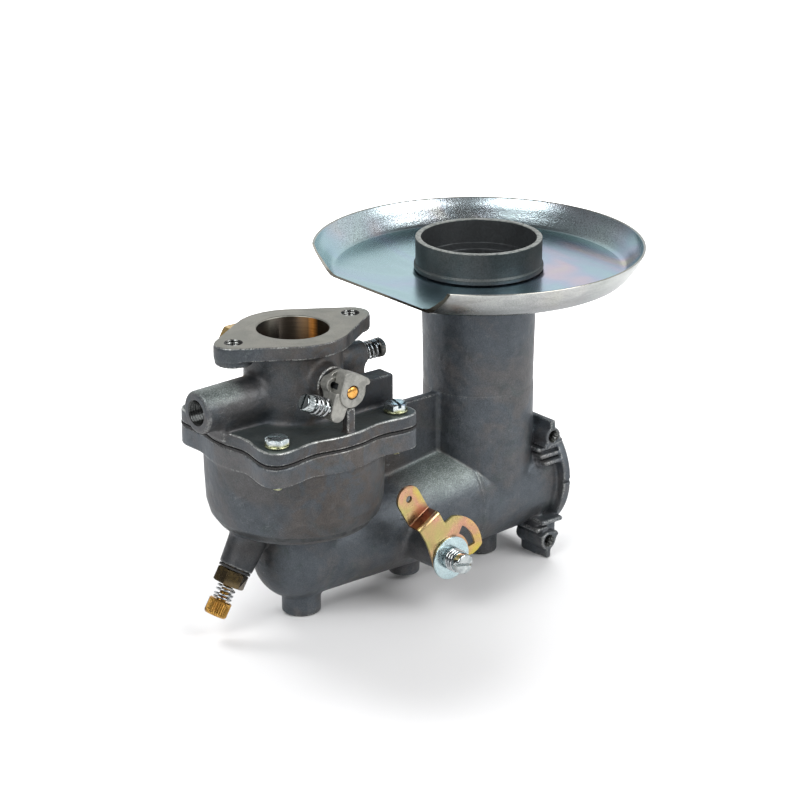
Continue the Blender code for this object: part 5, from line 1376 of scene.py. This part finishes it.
for tag, y in (("front", -8.0), ("rear", 8.0)):
    give(plate_screw(f"choke_screw_look_{tag}", CHOKE, y, -1.4), "choke", [f"choke_plate_screw_{tag}"], [ZINC])

ARM_HALF, JOG, ARM_HOLE, T = 5.5, 19.8, 30.7, 1.2
LEVER_Y, UPPER_Y = -37.6, -31.4


def flat_pivot(radius, degrees):
    """A point round the pivot in the lever's own plane: reach along the arm and side."""
    a = math.radians(degrees) - ARM_ANGLE
    return (radius * math.cos(a), radius * math.sin(a))


BEND = 1.15  # radius of each fold at the sheet's middle
DROP = UPPER_Y - LEVER_Y
JOG_MID = JOG + 0.3
BEND_LEN = BEND * math.pi / 2
STRAIGHT = DROP - 2 * BEND
EXTRA = 2 * BEND_LEN + STRAIGHT - 2 * BEND  # how much longer the flat pattern is than the arm's reach
S0 = JOG_MID - BEND


def fold(s):
    """Reach along the arm and depth towards +Y for a length along the sheet."""
    if s <= S0:
        return s, 0.0
    s -= S0
    if s <= BEND_LEN:
        a = s / BEND
        return S0 + BEND * math.sin(a), BEND * (1 - math.cos(a))
    s -= BEND_LEN
    if s <= STRAIGHT:
        return JOG_MID, BEND + s
    s -= STRAIGHT
    if s <= BEND_LEN:
        a = s / BEND
        return JOG_MID + BEND * (1 - math.cos(a)), BEND + STRAIGHT + BEND * math.sin(a)
    s -= BEND_LEN
    return JOG_MID + BEND + s, DROP


outline = [(14.0, -ARM_HALF)]
outline += [flat_pivot(17.0, 84.0 - 4.0 * i) for i in range(21)]
outline += [flat_pivot(14.6, -3.0), flat_pivot(12.4, -9.0), flat_pivot(10.8, -10.5), flat_pivot(9.3, -12.0)]
outline += [flat_pivot(8.0, -20.0 - 11.0 * i) for i in range(15)]
outline += [(10.0, ARM_HALF + 0.5), (14.0, ARM_HALF)]
end_s = ARM_HOLE + EXTRA
outline += [(end_s + ARM_HALF * math.sin(math.pi * i / 24), ARM_HALF * math.cos(math.pi * i / 24)) for i in range(25)]
outline = soft(outline, 1.0, True, 3, 14)
slot_line = soft([flat_pivot(13.4, 10.0 + 4.25 * i) for i in range(13)] + [flat_pivot(9.9, 61.0 - 4.25 * i) for i in range(13)], 1.2, True, 3, 30)
sheet_curve = bpy.data.curves.new("sheet", "CURVE")
sheet_curve.dimensions, sheet_curve.fill_mode = "2D", "BOTH"
for line in (outline, slot_line, circle(0, 0, 2.6, 40), circle(end_s, 0, 1.45, 28)):
    spline = sheet_curve.splines.new("POLY")
    spline.points.add(len(line) - 1)
    for point, (x, y) in zip(spline.points, line):
        point.co = (x * MM, y * MM, 0.0, 1.0)
    spline.use_cyclic_u = True
temp = link("sheet_curve", sheet_curve)
bpy.context.view_layer.update()
sheet_mesh = bpy.data.meshes.new_from_object(temp.evaluated_get(bpy.context.evaluated_depsgraph_get()))
bpy.data.objects.remove(temp, do_unlink=True)
bm = bmesh.new()
bm.from_mesh(sheet_mesh)
bmesh.ops.remove_doubles(bm, verts=bm.verts, dist=1e-6)
lines = [S0 + BEND_LEN * k / 8 for k in range(9)] + [S0 + BEND_LEN + STRAIGHT + BEND_LEN * k / 8 for k in range(9)]
for s in lines:
    bmesh.ops.bisect_plane(bm, geom=bm.verts[:] + bm.edges[:] + bm.faces[:], plane_co=(s * MM, 0, 0), plane_no=(1, 0, 0))
for e in bm.edges:
    e.seam = any(abs(e.verts[0].co.x / MM - s) < 0.002 and abs(e.verts[1].co.x / MM - s) < 0.002 for s in lines)
bmesh.ops.dissolve_limit(bm, angle_limit=0.01, verts=bm.verts[:], edges=bm.edges[:], delimit={"SEAM"})
middle = LEVER_Y - T / 2
for v in bm.verts:
    reach, depth = fold(v.co.x / MM)
    side_ = v.co.y / MM
    px = CHOKE_X + ARM_U.x * reach + ARM_V.x * side_
    pz = CHOKE_Z + ARM_U.y * reach + ARM_V.y * side_
    v.co = Vector((px, middle + depth, pz)) * MM
bmesh.ops.recalc_face_normals(bm, faces=bm.faces)
bm.to_mesh(sheet_mesh)
bm.free()
arm = link("choke_lever_look", sheet_mesh)
arm.data.materials.clear()
thick = arm.modifiers.new("thick", "SOLIDIFY")
thick.thickness, thick.offset = T * MM, 0.0
thick.use_even_offset = True
bake(arm)
rim(arm, 0.16, 2, 50)
give(shade(arm, 40), "choke", ["choke_lever"], [GOLD])

washer = revolve("choke_washer_look", soft([(2.6, 39.1), (8.8, 39.1), (8.8, 40.2), (2.6, 40.2)], 0.22, True), 96, CHOKE @ FORE, ring=True)
give(shade(washer), "choke", ["choke_washer"], [WASHER])
give(coil("choke_spring_look", (CHOKE_X, -40.5, CHOKE_Z), (CHOKE_X, -45.0, CHOKE_Z), 4.1, 0.5, 2.7), "choke", ["choke_spring"], [SPRING])
profile = soft([(0, 48.4), (3.7, 48.4), (4.05, 48.0), (4.2, 45.2), (1.6, 45.2)], 0.3)
profile += [(1.6, z) for _, z in thread_profile(1.6, 45.1, 31.8, 0.8)] + [(1.6, 31.6), (1.2, 31.0), (0, 31.0)]
cscrew = revolve("choke_screw_look", profile, 72, CHOKE @ FORE, ripple=thread_ripple(0.8, 0.2, 31.5, 45.0, 1.5))
slot = brick("c_slot", (CHOKE_X - 6, -49.5, CHOKE_Z - 0.6), (CHOKE_X + 6, -46.8, CHOKE_Z + 0.6), Matrix.Rotation(math.radians(12), 3, "Y"))
combine(cscrew, [slot])
rim(cscrew, 0.1, 2, 45)
give(shade(cscrew, 40), "choke", ["choke_screw"], [ZINC])

# ---- stage, light and camera ---------------------------------------------------------------------
floor_mesh = bpy.data.meshes.new("floor")
floor_mesh.from_pydata([(-4, -4, 0), (4, -4, 0), (4, 4, 0), (-4, 4, 0)], [], [(0, 1, 2, 3)])
floor = link("floor", floor_mesh)
floor.location.z = -0.00015
m = Look("pale_floor")
m.set(Base_Color=(0.74, 0.74, 0.745), Roughness=0.65, Specular_IOR_Level=0.15)
glow = m.span(m.distance(0.040, -0.015, 0.0), 0.105, 0.34)
ray = m.tree.nodes.new("ShaderNodeLightPath").outputs["Is Camera Ray"]
fx, fy, fz = m.axes()
beyond = m.span(m.math("ADD", m.math("MULTIPLY", fx, 0.633), m.math("MULTIPLY", fy, 0.774)), 0.15, 0.70)
shiny = m.tree.nodes.new("ShaderNodeLightPath").outputs["Is Glossy Ray"]
seen_glow = m.math("MULTIPLY", m.math("MULTIPLY", glow, ray), 0.9)
m.set(Emission_Color=(1.0, 1.0, 1.0), Emission_Strength=m.math("ADD", seen_glow, m.math("MULTIPLY", m.math("MULTIPLY", beyond, shiny), 0.85)))
floor.data.materials.append(m.mat)

world = bpy.data.worlds.new("studio")
bpy.context.scene.world = world
world.use_nodes = True
tree = world.node_tree
tree.nodes.clear()
out = tree.nodes.new("ShaderNodeOutputWorld")
back = tree.nodes.new("ShaderNodeBackground")
white = tree.nodes.new("ShaderNodeBackground")
white.inputs[0].default_value = (1, 1, 1, 1)
white.inputs[1].default_value = 1.0
mixer = tree.nodes.new("ShaderNodeMixShader")
path = tree.nodes.new("ShaderNodeLightPath")
tex = tree.nodes.new("ShaderNodeTexCoord")
split = tree.nodes.new("ShaderNodeSeparateXYZ")
ramp = tree.nodes.new("ShaderNodeValToRGB")
tree.links.new(tex.outputs["Generated"], split.inputs[0])
shift = tree.nodes.new("ShaderNodeMath")
shift.operation = "MULTIPLY_ADD"
shift.inputs[1].default_value, shift.inputs[2].default_value = 0.5, 0.5
tree.links.new(split.outputs[2], shift.inputs[0])
tree.links.new(shift.outputs[0], ramp.inputs[0])
stops_into(ramp.color_ramp, ((0.0, 0.34), (0.47, 0.38), (0.53, 0.90), (0.72, 0.95), (0.81, 0.74), (0.89, 0.26), (0.95, 0.08), (1.0, 0.06)))
# darker on the camera's side, below the soft boxes
turn_dot = tree.nodes.new("ShaderNodeVectorMath")
turn_dot.operation = "DOT_PRODUCT"
turn_dot.inputs[1].default_value = (0.633, 0.774, 0.0)
tree.links.new(tex.outputs["Generated"], turn_dot.inputs[0])
dim = tree.nodes.new("ShaderNodeMapRange")
dim.interpolation_type = "SMOOTHSTEP"
for i, v in ((1, -0.55), (2, 0.35), (3, 0.28), (4, 1.0)):
    dim.inputs[i].default_value = v
tree.links.new(turn_dot.outputs["Value"], dim.inputs[0])
left_dot = tree.nodes.new("ShaderNodeVectorMath")
left_dot.operation = "DOT_PRODUCT"
left_dot.inputs[1].default_value = (-0.774, 0.633, 0.0)
tree.links.new(tex.outputs["Generated"], left_dot.inputs[0])
dim_left = tree.nodes.new("ShaderNodeMapRange")
dim_left.interpolation_type = "SMOOTHSTEP"
for i, v in ((1, 0.30), (2, 0.90), (3, 1.0), (4, 0.25)):
    dim_left.inputs[i].default_value = v
tree.links.new(left_dot.outputs["Value"], dim_left.inputs[0])
both = tree.nodes.new("ShaderNodeMath")
both.operation = "MULTIPLY"
tree.links.new(dim.outputs[0], both.inputs[0])
tree.links.new(dim_left.outputs[0], both.inputs[1])
tree.links.new(ramp.outputs[0], back.inputs[0])
tree.links.new(both.outputs[0], back.inputs[1])
tree.links.new(path.outputs["Is Camera Ray"], mixer.inputs[0])
tree.links.new(back.outputs[0], mixer.inputs[1])
tree.links.new(white.outputs[0], mixer.inputs[2])
tree.links.new(mixer.outputs[0], out.inputs[0])


def lamp(name, place_, target, size, energy, colour=(1, 1, 1), size_y=None, glossy=True):
    data = bpy.data.lights.new(name, "AREA")
    data.shape = "RECTANGLE"
    data.size, data.size_y = size, size_y or size
    data.energy, data.color = energy, colour
    made = bpy.data.objects.new(name, data)
    bpy.context.scene.collection.objects.link(made)
    made.location = place_
    made.rotation_mode = "QUATERNION"
    made.rotation_quaternion = (Vector(target) - Vector(place_)).to_track_quat("-Z", "Y")
    made.visible_glossy = glossy
    return made


CENTRE = (0.06, 0.0, 0.08)
lamp("box_left", (0.06 - 0.80, -0.23, 0.80), CENTRE, 0.70, 7.5)
lamp("box_right", (0.06 + 0.30, -0.84, 0.73), CENTRE, 0.70, 8.5)
lamp("back_top", (-0.10, 0.75, 0.95), CENTRE, 0.5, 7.0, glossy=False)
lamp("top_right", (0.72, 0.34, 0.95), CENTRE, 0.45, 8.0, glossy=False)
lamp("side_left", (-0.95, 0.25, 0.45), CENTRE, 0.4, 2.5, glossy=False)

camera = bpy.data.objects.new("camera", bpy.data.cameras.new("camera"))
bpy.context.scene.collection.objects.link(camera)
camera.data.lens, camera.data.sensor_width = 126.0, 36.0
camera.data.clip_start, camera.data.clip_end = 0.02, 20.0
yaw, pitch = math.radians(39.2993), math.radians(20.34)
look = Vector((math.sin(yaw) * math.cos(pitch), math.cos(yaw) * math.cos(pitch), -math.sin(pitch)))
camera.location = (-0.608917, -0.808608, 0.463870)
camera.rotation_mode = "QUATERNION"
camera.rotation_quaternion = look.to_track_quat("-Z", "Y")
bpy.context.scene.camera = camera
view = bpy.context.scene.view_settings
view.view_transform, view.look, view.exposure, view.gamma = "Standard", "None", 0.0, 1.0
